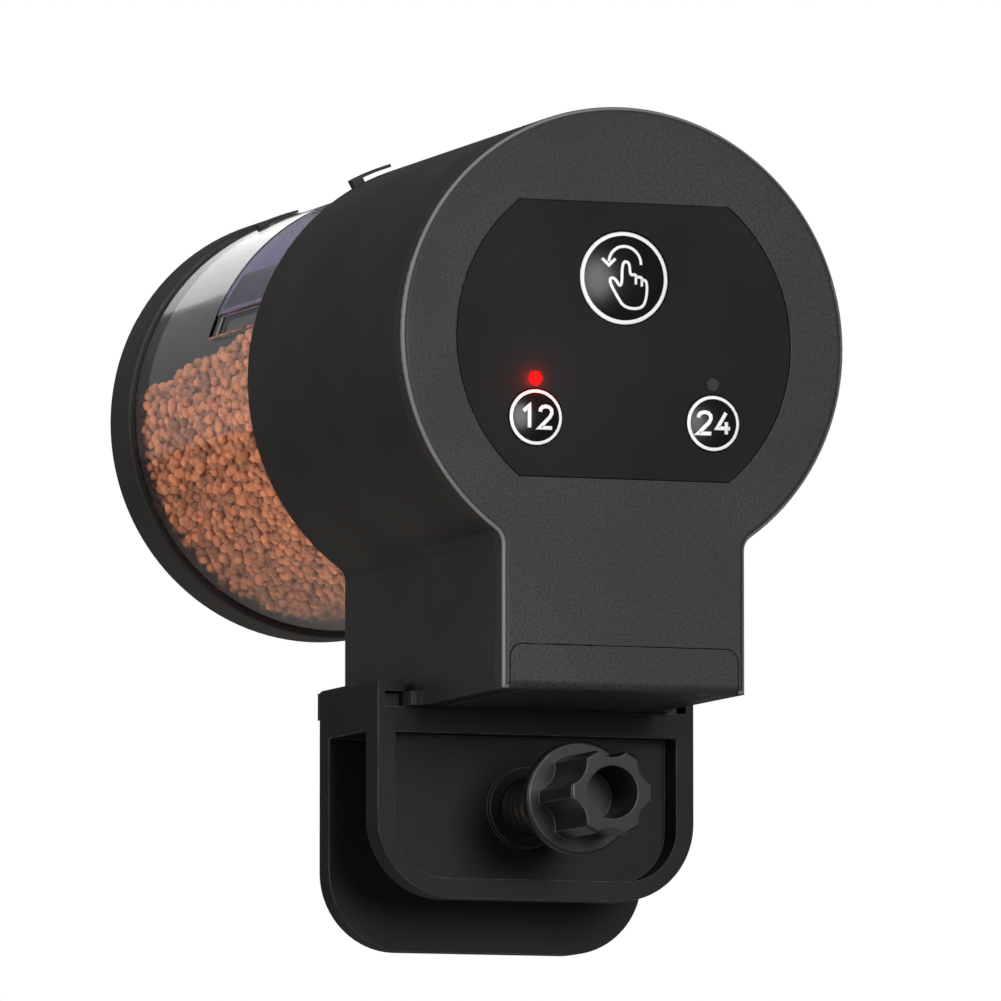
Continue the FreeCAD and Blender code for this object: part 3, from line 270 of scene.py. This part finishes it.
def plastic(name, colour, roughness, grain=3200.0, depth=0.012 * MM, specular=0.5, wear_and_highlight=0.5, edge=0.25 * MM,
            contrast=0.12, rim=None):
    """Moulded plastic: spark-eroded grain, uneven gloss, faint tone drift and paler edges, partly scuffing
    and partly a painted edge highlight.

    rim is the tone of a painted highlight on the rounding between faces that look along Y and faces that
    don't."""
    material, tree, shader = new_material(name)
    fine = noise_texture(tree, grain, 3.0)
    broad = noise_texture(tree, DRIFT_SCALE)
    normal, pale_edge_mask = rounded_edges(tree, edge)
    grained = blended(tree, spread(tree, fine, 0, 1, 0.35, 0.65), shade(colour, 1 - contrast),
                      shade(colour, 1 + contrast))
    drifted = blended(tree, spread(tree, broad, 0, 0.5), grained, shade(colour, 0.9))
    # Paler edge tone: partly scuffing, partly a painted highlight along the edges.
    pale_edge_tone = tuple(min(1.0, channel * 1.5 + 0.15) for channel in colour)
    pale_edge_mask = times(tree, pale_edge_mask, spread(tree, noise_texture(tree, EDGE_PATCH_SCALE), 0.2 * wear_and_highlight, wear_and_highlight))
    tone = blended(tree, pale_edge_mask, drifted, pale_edge_tone)
    gloss = spread(tree, broad, roughness - 0.05, roughness + 0.06)
    # A rim tone paints a highlight on the rounding between front and side faces.
    if rim:
        rim_highlight_mask = rounding(tree)
        tone = blended(tree, rim_highlight_mask, tone, rim)
        lower = tree.nodes.new("ShaderNodeMath")
        lower.operation = "SUBTRACT"
        feed(tree, lower.inputs[0], gloss)
        feed(tree, lower.inputs[1], times(tree, rim_highlight_mask, roughness * 0.4))
        gloss = lower.outputs[0]
    feed(tree, shader.inputs["Base Color"], tone)
    feed(tree, shader.inputs["Roughness"], gloss)
    shader.inputs["Specular IOR Level"].default_value = specular
    bump(tree, shader, fine, depth, normal)
    return material


def metal(name, colour, roughness, stretch=(1, 0.08, 1), streaks=2400.0):
    """Metal with fine drawn streaks and edges made brighter by rubbing."""
    material, tree, shader = new_material(name)
    shader.inputs["Metallic"].default_value = 1.0
    fine = noise_texture(tree, streaks, 4.0, stretch)
    normal, pale_edge_mask = rounded_edges(tree, 0.15 * MM)
    tone = blended(tree, spread(tree, fine, 0, 1), shade(colour, 0.8), shade(colour, 1.1))
    feed(tree, shader.inputs["Base Color"], blended(tree, times(tree, pale_edge_mask, 0.6), tone, shade(colour, 1.3)))
    feed(tree, shader.inputs["Roughness"], spread(tree, fine, roughness - 0.08, roughness + 0.12))
    bump(tree, shader, fine, 0.004 * MM, normal)
    return material


def rubber(name, colour):
    """Soft matt rubber with pores and pale dust."""
    material, tree, shader = new_material(name)
    pores = noise_texture(tree, 5200.0, 4.0)
    dust = noise_texture(tree, 260.0, 3.0)
    feed(tree, shader.inputs["Base Color"],
         blended(tree, spread(tree, dust, 0, 0.6, 0.45, 0.75), colour, shade(colour, 2.2)))
    feed(tree, shader.inputs["Roughness"], spread(tree, pores, 0.72, 0.92))
    shader.inputs["Sheen Weight"].default_value = 0.15
    bump(tree, shader, pores, 0.02 * MM)
    return material


def clear_plastic(name, colour, roughness, through=(1, 1, 1)):
    """Clear moulded plastic with faint flow waves; lamps reach what it encloses."""
    material, tree, shader = new_material(name)
    shader.inputs["Transmission Weight"].default_value = 1.0
    shader.inputs["IOR"].default_value = 1.09
    side = tree.nodes.new("ShaderNodeNewGeometry")
    feed(tree, shader.inputs["Coat Weight"], spread(tree, side.outputs["Backfacing"], 0.8, 0, 0, 1))
    shader.inputs["Coat IOR"].default_value = 1.4
    shader.inputs["Coat Roughness"].default_value = 0.08
    waves = noise_texture(tree, 90.0, 2.0, (1, 0.3, 1))
    scuffs = noise_texture(tree, 1400.0, 4.0, (1, 0.15, 1))
    feed(tree, shader.inputs["Base Color"], blended(tree, waves, colour, shade(colour, 0.96)))
    feed(tree, shader.inputs["Roughness"], spread(tree, scuffs, roughness, roughness + 0.05, 0.5, 0.8))
    bump(tree, shader, waves, 0.03 * MM)
    open_air = tree.nodes.new("ShaderNodeBsdfTransparent")
    open_air.inputs["Color"].default_value = (*through, 1)
    mixer = tree.nodes.new("ShaderNodeMixShader")
    path = tree.nodes.new("ShaderNodeLightPath")
    tree.links.new(path.outputs["Is Shadow Ray"], mixer.inputs[0])
    tree.links.new(shader.outputs[0], mixer.inputs[1])
    tree.links.new(open_air.outputs[0], mixer.inputs[2])
    tree.links.new(mixer.outputs[0], tree.nodes["Material Output"].inputs[0])
    return material


def lamp_plastic(name, colour, glow):
    """A small light guide of diffusing plastic; glow is its own light."""
    material, tree, shader = new_material(name)
    fine = noise_texture(tree, 2600.0, 2.0)
    feed(tree, shader.inputs["Base Color"], blended(tree, fine, shade(colour, 0.85), colour))
    feed(tree, shader.inputs["Roughness"], spread(tree, fine, 0.3, 0.45))
    shader.inputs["Specular IOR Level"].default_value = 0.08
    shader.inputs["Emission Color"].default_value = (*colour, 1)
    shader.inputs["Emission Strength"].default_value = glow
    bump(tree, shader, fine, 0.006 * MM)
    return material


def circuit_board():
    """Solder resist over copper runs."""
    material, tree, shader = new_material("circuit_board")
    runs = tree.nodes.new("ShaderNodeTexBrick")
    runs.inputs["Scale"].default_value = 260.0
    runs.inputs["Mortar Size"].default_value = 0.12
    runs.inputs["Color1"].default_value = (0.01, 0.075, 0.03, 1)
    runs.inputs["Color2"].default_value = (0.012, 0.09, 0.035, 1)
    runs.inputs["Mortar"].default_value = (0.03, 0.19, 0.07, 1)
    upright = tree.nodes.new("ShaderNodeMapping")
    upright.inputs["Rotation"].default_value = (math.pi / 2, 0, 0)
    tree.links.new(object_place(tree), upright.inputs["Vector"])
    tree.links.new(upright.outputs[0], runs.inputs["Vector"])
    weave = noise_texture(tree, 1800.0, 2.0)
    feed(tree, shader.inputs["Base Color"], runs.outputs["Color"])
    feed(tree, shader.inputs["Roughness"], spread(tree, weave, 0.28, 0.42))
    bump(tree, shader, runs.outputs["Fac"], 0.03 * MM)
    return material


def battery_jacket(start, end, flipped):
    """A two-tone sleeve between two steel ends along Y; the copper end comes first where flipped."""
    material, tree, shader = new_material("battery_jacket" + ("_b" if flipped else "_a"))
    split = tree.nodes.new("ShaderNodeSeparateXYZ")
    tree.links.new(object_place(tree), split.inputs[0])
    along = split.outputs["Y"]
    rim = 1.2 * MM
    band = (end - start) * 0.27
    sharp = 0.02 * MM
    scuffs = noise_texture(tree, 700.0, 4.0, (1, 0.3, 1))
    if flipped:
        steps = [(start + rim, JACKET_COPPER), (start + band, JACKET_BLACK), (end - rim, STEEL_TONE)]
    else:
        steps = [(start + rim, JACKET_BLACK), (end - band, JACKET_COPPER), (end - rim, STEEL_TONE)]
    tone = STEEL_TONE
    for place, colour in steps:
        past = spread(tree, along, 0, 1, place - sharp, place + sharp)
        tone = blended(tree, past, tone, colour)
    sleeve = times(tree, spread(tree, along, 0, 1, start + rim, start + rim + 2 * sharp),
                   spread(tree, along, 1, 0, end - rim, end - rim + 2 * sharp))
    feed(tree, shader.inputs["Base Color"], tone)
    feed(tree, shader.inputs["Metallic"], spread(tree, sleeve, 1, 0, 0, 1))
    feed(tree, shader.inputs["Roughness"], spread(tree, scuffs, 0.25, 0.4))
    bump(tree, shader, scuffs, 0.01 * MM)
    return material


def pellet_food():
    """Baked granules: each its own tint, with a crumbly surface."""
    material, tree, shader = new_material("pellets")
    island = tree.nodes.new("ShaderNodeNewGeometry")
    tint = blended(tree, island.outputs["Random Per Island"], (0.125, 0.034, 0.011), (0.45, 0.15, 0.058))
    crumbs = noise_texture(tree, 1500.0, 4.0)
    feed(tree, shader.inputs["Base Color"], blended(tree, spread(tree, crumbs, 0, 0.55, 0.5, 0.75), tint,
                                                    (0.48, 0.25, 0.13)))
    feed(tree, shader.inputs["Roughness"], spread(tree, crumbs, 0.5, 0.75))
    shader.inputs["Specular IOR Level"].default_value = 0.35
    bump(tree, shader, crumbs, 0.12 * MM)
    return material


# ---------------------------------------------------------------- shapes

def add_mesh(name, points, faces, material, body, smooth=True):
    mesh = bpy.data.meshes.new(name)
    mesh.from_pydata(points, [], faces)
    mesh.polygons.foreach_set("use_smooth", [smooth] * len(faces))
    mesh.materials.append(material)
    obj = bpy.data.objects.new(name, mesh)
    scene.collection.objects.link(obj)
    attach(obj, body)
    return obj


def corner_cut(points, passes=3):
    """A closed outline with its corners rounded by repeated cutting."""
    for _ in range(passes):
        cut = []
        for start, end in zip(points, points[1:] + points[:1]):
            cut.append(start.lerp(end, 0.25))
            cut.append(start.lerp(end, 0.75))
        points = cut
    return points


def stepped(path, closed, step=0.25 * MM):
    """The path with points added so that it can follow a dome closely."""
    ends = path[1:] + path[:1] if closed else path[1:]
    points = []
    for start, end in zip(path, ends):
        count = max(1, math.ceil((end - start).length / step))
        points += [start.lerp(end, index / count) for index in range(count)]
    return points if closed else points + [path[-1]]


def stroke_sides(path, width, closed):
    """Left and right points of a stroke of even width along a path."""
    sides = []
    for index, here in enumerate(path):
        before = path[index - 1] if closed or index else here
        after = path[(index + 1) % len(path)] if closed or index + 1 < len(path) else here
        ahead = (after - here) if (after - here).length else (here - before)
        behind = (here - before) if (here - before).length else ahead
        along = (ahead.normalized() + behind.normalized()).normalized()
        square = Vector((-along.y, along.x))
        mitre = max(0.4, along.dot(ahead.normalized()))
        sides.append((here + square * width / 2 / mitre, here - square * width / 2 / mitre))
    return sides


def print_strokes(name, paths, centre, bulge, white, body):
    """White strokes that lie on a button's dome. centre is the dome's foremost point, bulge its radius."""
    def on_dome(point, proud):
        sag = bulge - math.sqrt(bulge * bulge - point.length_squared)
        return centre + Vector((point.x, sag - proud, point.y))

    points, faces = [], []
    for path, width, closed in paths:
        first = len(points)
        sides = stroke_sides(stepped(path, closed), width, closed)
        for left, right in sides:
            points += [on_dome(left, PRINT_HEIGHT), on_dome(right, PRINT_HEIGHT),
                       on_dome(right, -PRINT_HEIGHT), on_dome(left, -PRINT_HEIGHT)]
        spans = len(sides) if closed else len(sides) - 1
        for span in range(spans):
            near = first + 4 * span
            far = first + 4 * ((span + 1) % len(sides))
            for side in range(4):
                turn = (side + 1) % 4
                faces.append((near + side, near + turn, far + turn, far + side))
        if not closed:
            last = first + 4 * (len(sides) - 1)
            faces += [(first + 3, first + 2, first + 1, first), (last, last + 1, last + 2, last + 3)]
    add_mesh(name, points, faces, white, body, smooth=False)


def circle_path(radius, centre=(0, 0), start=0, end=360, count=96):
    full = end - start == 360
    steps = count if full else count - 1
    turns = [math.radians(start + (end - start) * step / steps) for step in range(count)]
    return [Vector((centre[0] + radius * math.cos(turn), centre[1] + radius * math.sin(turn)))
            for turn in turns]


def scaled(points, size, shift=(0, 0)):
    return [Vector((x * size + shift[0], y * size + shift[1])) for x, y in points]


def print_button(node, body, white, art):
    """A white ring round a button's dome, and the art inside it."""
    low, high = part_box(node)
    radius = (high.x - low.x) / 2 - BUTTON_FLANGE
    centre = Vector(((low.x + high.x) / 2, low.y, (low.z + high.z) / 2))
    art = [(scaled(path, radius), width, closed) for path, width, closed in art]
    small = radius < 5 * MM
    ring_width = WHITE_RING * 0.8 if small else WHITE_RING
    ring = [(circle_path(radius - ring_width / 2 - RING_MARGIN), ring_width, True)]
    print_strokes(node + "_ring", ring, centre, radius * DOME_RATIO, white, body)
    print_strokes(node + "_print", art, centre, radius * DOME_RATIO, white, body)


def turn_icon():
    """A pointing hand below an arrow that turns over it, on a button of radius one."""
    line = 0.45 * MM
    unit = 1 / 6.5
    hand = [(-0.55, -1.7), (-0.55, 2.2), (0.6, 2.2), (0.6, 0.35), (1.45, 0.5), (1.55, 0.1), (2.35, 0.15),
            (2.45, -0.25), (3.2, -0.3), (3.2, -2.6), (2.6, -4.2), (0, -4.2), (-1.2, -2.7), (-2.5, -0.4),
            (-1.75, 0.1)]
    arc_centre, arc_radius = (-0.05 * unit, 2.0 * unit), 2.35 * unit
    tip = Vector((arc_centre[0] - arc_radius, arc_centre[1] - 0.35 * unit))
    barb = 0.95 * unit
    return [(corner_cut(scaled(hand, unit), 3), line, True),
            (circle_path(arc_radius, arc_centre, -4, 176, 32), line, False),
            ([tip + Vector((-barb, barb)), tip, tip + Vector((barb, barb))], line, False),
            (scaled([(1.5, 0.2), (1.5, -0.9)], unit), line * 0.9, False),
            (scaled([(2.4, -0.1), (2.4, -1.15)], unit), line * 0.9, False)]


def number_art(text):
    """Two digits side by side on a button of radius one."""
    cell, gap, line = 0.48, 0.22, 0.58 * MM
    strokes = []
    for index, digit in enumerate(text):
        left = -cell - gap / 2 + index * (cell + gap)
        for stroke in DIGITS[digit]:
            strokes.append((scaled(stroke, cell, (left, -0.8 * cell)), line, False))
    return strokes


def threaded_screw(material):
    """The clamp screw with a real helical thread, between plain ends."""
    low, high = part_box("clamp_screw")
    centre = Vector(((low.x + high.x) / 2, 0, (low.z + high.z) / 2))
    crest = (high.x - low.x) / 2
    neck_length, head_length = 1.4 * MM, 1.6 * MM
    neck, head = 2 * MM, 3 * MM
    thread_end = high.y - neck_length - head_length
    chamfer = 0.6 * MM
    around, step = 48, THREAD_PITCH / 20
    rows = []
    count = int((thread_end - low.y) / step)
    for row in range(count + 1):
        y = low.y + (thread_end - low.y) * row / count
        edge = min(y - low.y, thread_end - y)
        limit = crest - max(0.0, chamfer - edge)
        radii = []
        for turn in range(around):
            phase = (y / THREAD_PITCH - turn / around) % 1
            flank = min(1.0, max(0.0, abs(phase - 0.5) * 2.6 - 0.3))
            radii.append(min(limit, crest - THREAD_DEPTH * flank))
        rows.append((y, radii))
    for y, radius in ((thread_end, neck), (high.y - head_length, neck), (high.y - head_length, head),
                      (high.y - 0.2 * MM, head), (high.y, head - 0.2 * MM)):
        rows.append((y, [radius] * around))
    points, faces = [], []
    for y, radii in rows:
        for turn, radius in enumerate(radii):
            angle = 2 * math.pi * turn / around
            points.append(centre + Vector((radius * math.cos(angle), y, radius * math.sin(angle))))
    for row in range(len(rows) - 1):
        for turn in range(around):
            after = (turn + 1) % around
            faces.append((row * around + after, row * around + turn,
                          (row + 1) * around + turn, (row + 1) * around + after))
    last = (len(rows) - 1) * around
    faces.append(tuple(range(around)))
    faces.append(tuple(reversed(range(last, last + around))))
    screw = add_mesh("threaded_clamp_screw", points, faces, material, "clamp_handle")
    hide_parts("clamp_screw")


def coil(points, faces, centre, start, end, wide, narrow, turns, wire):
    """A conical spring along Y from its wide turn at start to its narrow turn at end."""
    per_turn, around = 40, 10
    count = int(turns * per_turn)
    first = len(points)
    for index in range(count + 1):
        part = index / count
        angle = 2 * math.pi * turns * part
        radius = wide + (narrow - wide) * part
        outward = Vector((math.cos(angle), 0, math.sin(angle)))
        hub = Vector((centre.x, start + (end - start) * part, centre.z)) + outward * radius
        for turn in range(around):
            lean = 2 * math.pi * turn / around
            points.append(hub + outward * wire * math.cos(lean) + Vector((0, wire * math.sin(lean), 0)))
    for index in range(count):
        for turn in range(around):
            after = (turn + 1) % around
            here, there = first + index * around, first + (index + 1) * around
            faces.append((here + turn, here + after, there + after, there + turn))
    faces.append(tuple(reversed(range(first, first + around))))
    faces.append(tuple(range(first + count * around, first + (count + 1) * around)))


def battery_coils(material):
    """One conical contact spring at the front of the left cell and one at the rear of the right cell."""
    low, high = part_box("battery_springs")
    left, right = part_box("battery_left"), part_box("battery_right")
    wire, wide, narrow, turns = 0.45 * MM, 5 * MM, 3.4 * MM, 3.2
    points, faces = [], []
    for cell, start, end in ((left, low.y + wire, left[0].y - wire),
                             (right, high.y - wire, right[1].y + wire)):
        centre = (cell[0] + cell[1]) / 2
        coil(points, faces, centre, start, end, wide, narrow, turns, wire)
    springs = add_mesh("battery_coils", points, faces, material, "housing")
    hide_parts("battery_springs")


# ---------------------------------------------------------------- food

def granule_mesh(name, centres, material, size):
    """Rounded granules of uneven shape at the given centres, as one mesh."""
    ball = bmesh.new()
    bmesh.ops.create_icosphere(ball, subdivisions=2, radius=1)
    corners = [vertex.co.copy() for vertex in ball.verts]
    sides = [tuple(vertex.index for vertex in face.verts) for face in ball.faces]
    ball.free()
    points, faces = [], []
    for centre in centres:
        spin = Matrix.Rotation(random.uniform(0, math.pi), 3, noise.random_unit_vector())
        stretch = Vector([size * random.uniform(0.72, 1.0) for _ in range(3)])
        first = len(points)
        for corner in corners:
            lump = 0.84 + 0.16 * noise.noise(corner * 1.4 + centre / MM)
            points.append(centre + spin @ (corner * stretch * lump))
        faces += [tuple(first + index for index in side) for side in sides]
    add_mesh(name, points, faces, material, "food")


def food_bed(material, middle, rear_height, rear):
    """The closed bed under the granules: the CAD piece, shrunk and kept below their top."""
    source = nodes["fish_food"].data
    shrink = Vector((0.94, 0.97, 0.94))
    points = []
    for vertex in source.vertices:
        place = middle + (vertex.co - middle) * shrink
        place.z = min(place.z, rear_height + FOOD_SLOPE * (rear - place.y) - 2 * MM)
        points.append(place)
    faces = [tuple(face.vertices) for face in source.polygons]
    bed = add_mesh("food_bed", points, faces, material, "food", smooth=False)
    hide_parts("fish_food")


def food_pieces(material):
    """The pellets as a closed inner bed and three layers of granules: wall, top and rear."""
    low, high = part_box("fish_food")
    axis = (low.x + high.x) / 2
    radius = (high.x - low.x) / 2
    centre_height = low.z + radius
    rear_height = high.z - FOOD_SLOPE * (high.y - low.y)
    front, back = low.y + BALL_SIZE, high.y - BALL_SIZE

    def top(x, y):
        swell = noise.noise(Vector((x, y, 0)) * 110) * 0.9
        ripple = noise.noise(Vector((x, y, 3)) * 420) * 0.6
        return rear_height + FOOD_SLOPE * (high.y - y) + (swell + ripple - 1.1) * MM

    def shaken(reach=0.55):
        return random.uniform(-reach, reach) * MM

    def within(y):
        return min(back, max(front, y))

    food_bed(material, Vector((axis, (low.y + high.y) / 2, centre_height)), rear_height, high.y)

    wall, cover, rear = [], [], []
    orbit = radius - BALL_SIZE + 0.1 * MM
    around = int(2 * math.pi * orbit / BALL_SPACING)
    rows = int((back - front) / (BALL_SPACING * 0.88))
    for row in range(rows + 1):
        y = front + (back - front) * row / rows
        for turn in range(around):
            angle = 2 * math.pi * (turn + 0.5 * (row % 2)) / around + shaken() / orbit
            depth = orbit - random.uniform(0, 0.85) * MM
            place = Vector((axis + depth * math.sin(angle), within(y + shaken()),
                            centre_height - depth * math.cos(angle)))
            if place.z < top(place.x, place.y):
                wall.append(place)
    columns = int(2 * orbit / BALL_SPACING)
    for row in range(rows + 1):
        y = front + (back - front) * row / rows
        for column in range(columns + 1):
            x = axis - orbit + BALL_SPACING * (column + 0.5 * (row % 2)) + shaken()
            place = Vector((x, within(y + shaken()), 0))
            place.z = top(place.x, place.y) + shaken(0.25)
            if math.hypot(place.x - axis, place.z - centre_height) < orbit:
                cover.append(place)
    level_step = BALL_SPACING * 0.9
    for level in range(int(2 * orbit / level_step) + 1):
        z = centre_height - orbit + level_step * level
        for column in range(columns + 1):
            x = axis - orbit + BALL_SPACING * (column + 0.5 * (level % 2)) + shaken()
            y = back - random.uniform(0, 0.4) * MM
            place = Vector((x, y, z + shaken()))
            inside = math.hypot(place.x - axis, place.z - centre_height) < orbit
            if inside and place.z < top(place.x, place.y):
                rear.append(place)
    granule_mesh("food_wall_granules", wall, material, BALL_SIZE)
    granule_mesh("food_top_granules", cover, material, BALL_SIZE)
    granule_mesh("food_rear_granules", rear, material, BALL_SIZE)


# ---------------------------------------------------------------- dressing

def dress(material, *names):
    for name in names:
        slots = nodes[name].data.materials
        slots.clear()
        slots.append(material)


def red_glow():
    """The lit lens also throws a little light on the panel round it."""
    low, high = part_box("indicator_lens_12h")
    data = bpy.data.lights.new("red_glow", "POINT")
    data.energy = 0.0022
    data.color = (1, 0, 0)
    data.shadow_soft_size = 0.6 * MM
    glow = bpy.data.objects.new("red_glow", data)
    glow.location = ((low.x + high.x) / 2, low.y - 1.0 * MM, (low.z + high.z) / 2)
    scene.collection.objects.link(glow)
    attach(glow, "housing")


add_world(strength=0.16)
add_camera()
add_softbox("front", turn=2, lift=6, reach=1.0, width=0.32, height=0.42, power=1.35, spread_angle=80)
add_softbox("left", turn=-100, lift=62, reach=1.1, width=0.8, height=0.8, power=0.95, spread_angle=110)
add_softbox("top", turn=30, lift=60, reach=1.2, width=0.6, height=0.6, power=0.35, spread_angle=70)
drum_light = add_softbox("back", turn=172, lift=18, reach=1.3, width=0.6, height=0.34, power=0.42)
light_only(drum_light, nodes["drum_barrel"])
add_softbox("under", turn=-95, lift=-32, reach=0.36, width=0.2, height=0.2, power=0.09, spread_angle=120,
            colour=(1, 0.72, 0.5))
add_softbox("rim", turn=-66, lift=10, reach=1.1, width=0.3, height=0.9, power=0.7, spread_angle=60)

# Strongly paler edges on the knob: partly scuffing, partly a painted edge highlight.
knob_black = plastic("knob_plastic", (0.008, 0.008, 0.0085), 0.36, grain=2600.0, depth=0.005 * MM,
                     specular=0.3, wear_and_highlight=1.0)
housing_black = plastic("housing_plastic", (0.019, 0.0188, 0.0188), 0.42, grain=2600.0, depth=0.004 * MM,
                        specular=0.16, wear_and_highlight=0.35, contrast=0.06)
drive_black = plastic("drive_plastic", (0.011, 0.011, 0.012), 0.5, grain=2200.0, specular=0.25)
button_gloss = plastic("button_gloss", (0.007, 0.007, 0.008), 0.22, grain=900.0, depth=0.0006 * MM,
                       specular=0.12, wear_and_highlight=0.15, contrast=0.05)
acetal = plastic("gear_plastic", (0.72, 0.71, 0.67), 0.35, grain=1400.0, depth=0.004 * MM, wear_and_highlight=0.2,
                 contrast=0.04)
component_black = plastic("black_component", (0.02, 0.02, 0.021), 0.5, grain=3600.0)
soft_black = rubber("soft_rubber", (0.022, 0.022, 0.022))
bright_metal = metal("bright_metal", (0.72, 0.7, 0.66), 0.26)
screw_steel = metal("screw_steel", (0.56, 0.55, 0.53), 0.3, stretch=(1, 1, 1), streaks=1800.0)
white_print = plastic("white_print", (0.93, 0.93, 0.925), 0.4, grain=3000.0, depth=0.002 * MM, wear_and_highlight=0,
                      contrast=0.04)
pellets = pellet_food()

# The cover's rim tone is a painted highlight on its rounded front edge.
dress(plastic("cover_plastic", COVER_TONE, 0.48, grain=2400.0, depth=0.022 * MM, specular=0.18, contrast=0.4,
              rim=(0.17, 0.17, 0.17)), "front_cover")
dress(plastic("door_plastic", COVER_TONE, 0.48, grain=2400.0, depth=0.022 * MM, specular=0.18, contrast=0.4),
      "battery_door")
dress(housing_black, "main_housing")
dress(drive_black, "drive_disc", "drum_collar")
dress(plastic("cap_plastic", (0.019, 0.019, 0.0195), 0.42, grain=2400.0, depth=0.006 * MM, specular=0.3),
      "end_cap", "drum_grip_ribs")
# Strongly paler edges on the bracket: partly scuffing, partly a painted edge highlight.
dress(plastic("bracket_plastic", (0.007, 0.007, 0.0072), 0.48, grain=3000.0, depth=0.01 * MM, specular=0.15,
              wear_and_highlight=0.9), "clamp_bracket")
dress(knob_black, "clamp_knob", "clamp_pad")
dress(plastic("overlay_film", (0.0065, 0.0065, 0.0067), 0.55, grain=5200.0, depth=0.003 * MM, specular=0.12,
              wear_and_highlight=0.1, contrast=0.06), "panel_overlay")
dress(button_gloss, *BUTTONS)
dress(lamp_plastic("lit_lens", (1.0, 0.0, 0.0), glow=1.0), "indicator_lens_12h")
dress(lamp_plastic("unlit_lens", (0.035, 0.035, 0.036), glow=0), "indicator_lens_24h")
dress(clear_plastic("clear_barrel", (0.95, 0.955, 0.97), 0.02), "drum_barrel")
dress(clear_plastic("tinted_shutter", (0.6, 0.58, 0.84), 0.03, through=(0.68, 0.66, 0.9)), "outlet_shutter")
dress(circuit_board(), "control_board")
dress(component_black, "tactile_switches", "microcontroller", "motor_connector", "battery_connector",
      "position_switch")
dress(plastic("led_package", (0.75, 0.68, 0.45), 0.35, grain=1800.0), "indicator_leds")
dress(plastic("capacitor_sleeve", (0.02, 0.03, 0.09), 0.3, grain=1500.0), "smoothing_capacitor")
dress(bright_metal, "clock_crystal", "motor_shaft", "switch_lever", "front_battery_contact",
      "rear_battery_contact")
dress(screw_steel, "board_screws", "motor_plate_screws", "motor_screws", "drive_disc_screw")
dress(metal("motor_metal", (0.62, 0.62, 0.61), 0.3), "motor_can", "gear_reducer", "motor_plate")
dress(acetal, "drive_gear", "index_cam", "motor_pinion")
dress(metal("bush_bronze", (0.55, 0.33, 0.13), 0.32, stretch=(1, 1, 1)), "hub_bush")
dress(soft_black, "mouth_seal", "cap_gasket", "pad_cushion")
for cell, flipped in (("battery_left", False), ("battery_right", True)):
    low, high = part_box(cell)
    dress(battery_jacket(low.y, high.y, flipped), cell)

threaded_screw(knob_black)
battery_coils(bright_metal)
food_pieces(pellets)
food_light = add_softbox("food", turn=-120, lift=-68, reach=0.2, width=0.1, height=0.1, power=0.12,
                         spread_angle=80, colour=(1, 0.86, 0.7))
light_only(food_light, *(scene.objects[name] for name in FOOD_PIECES))
for node, art in (("manual_feed_button", turn_icon()), ("interval_12h_button", number_art("12")),
                  ("interval_24h_button", number_art("24"))):
    print_button(node, BUTTONS[node], white_print, art)
red_glow()

floor_mesh = bpy.data.meshes.new("floor")
floor_mesh.from_pydata([(x * FLOOR_REACH, y * FLOOR_REACH, FLOOR_HEIGHT)
                        for x, y in ((-1, -1), (1, -1), (1, 1), (-1, 1))], [], [(0, 1, 2, 3)])
floor_mesh.materials.append(plastic("floor_paint", (0.57, 0.53, 0.49), 0.7, grain=300.0, depth=0.004 * MM,
                                    wear_and_highlight=0, contrast=0.03))
floor = bpy.data.objects.new("floor", floor_mesh)
scene.collection.objects.link(floor)
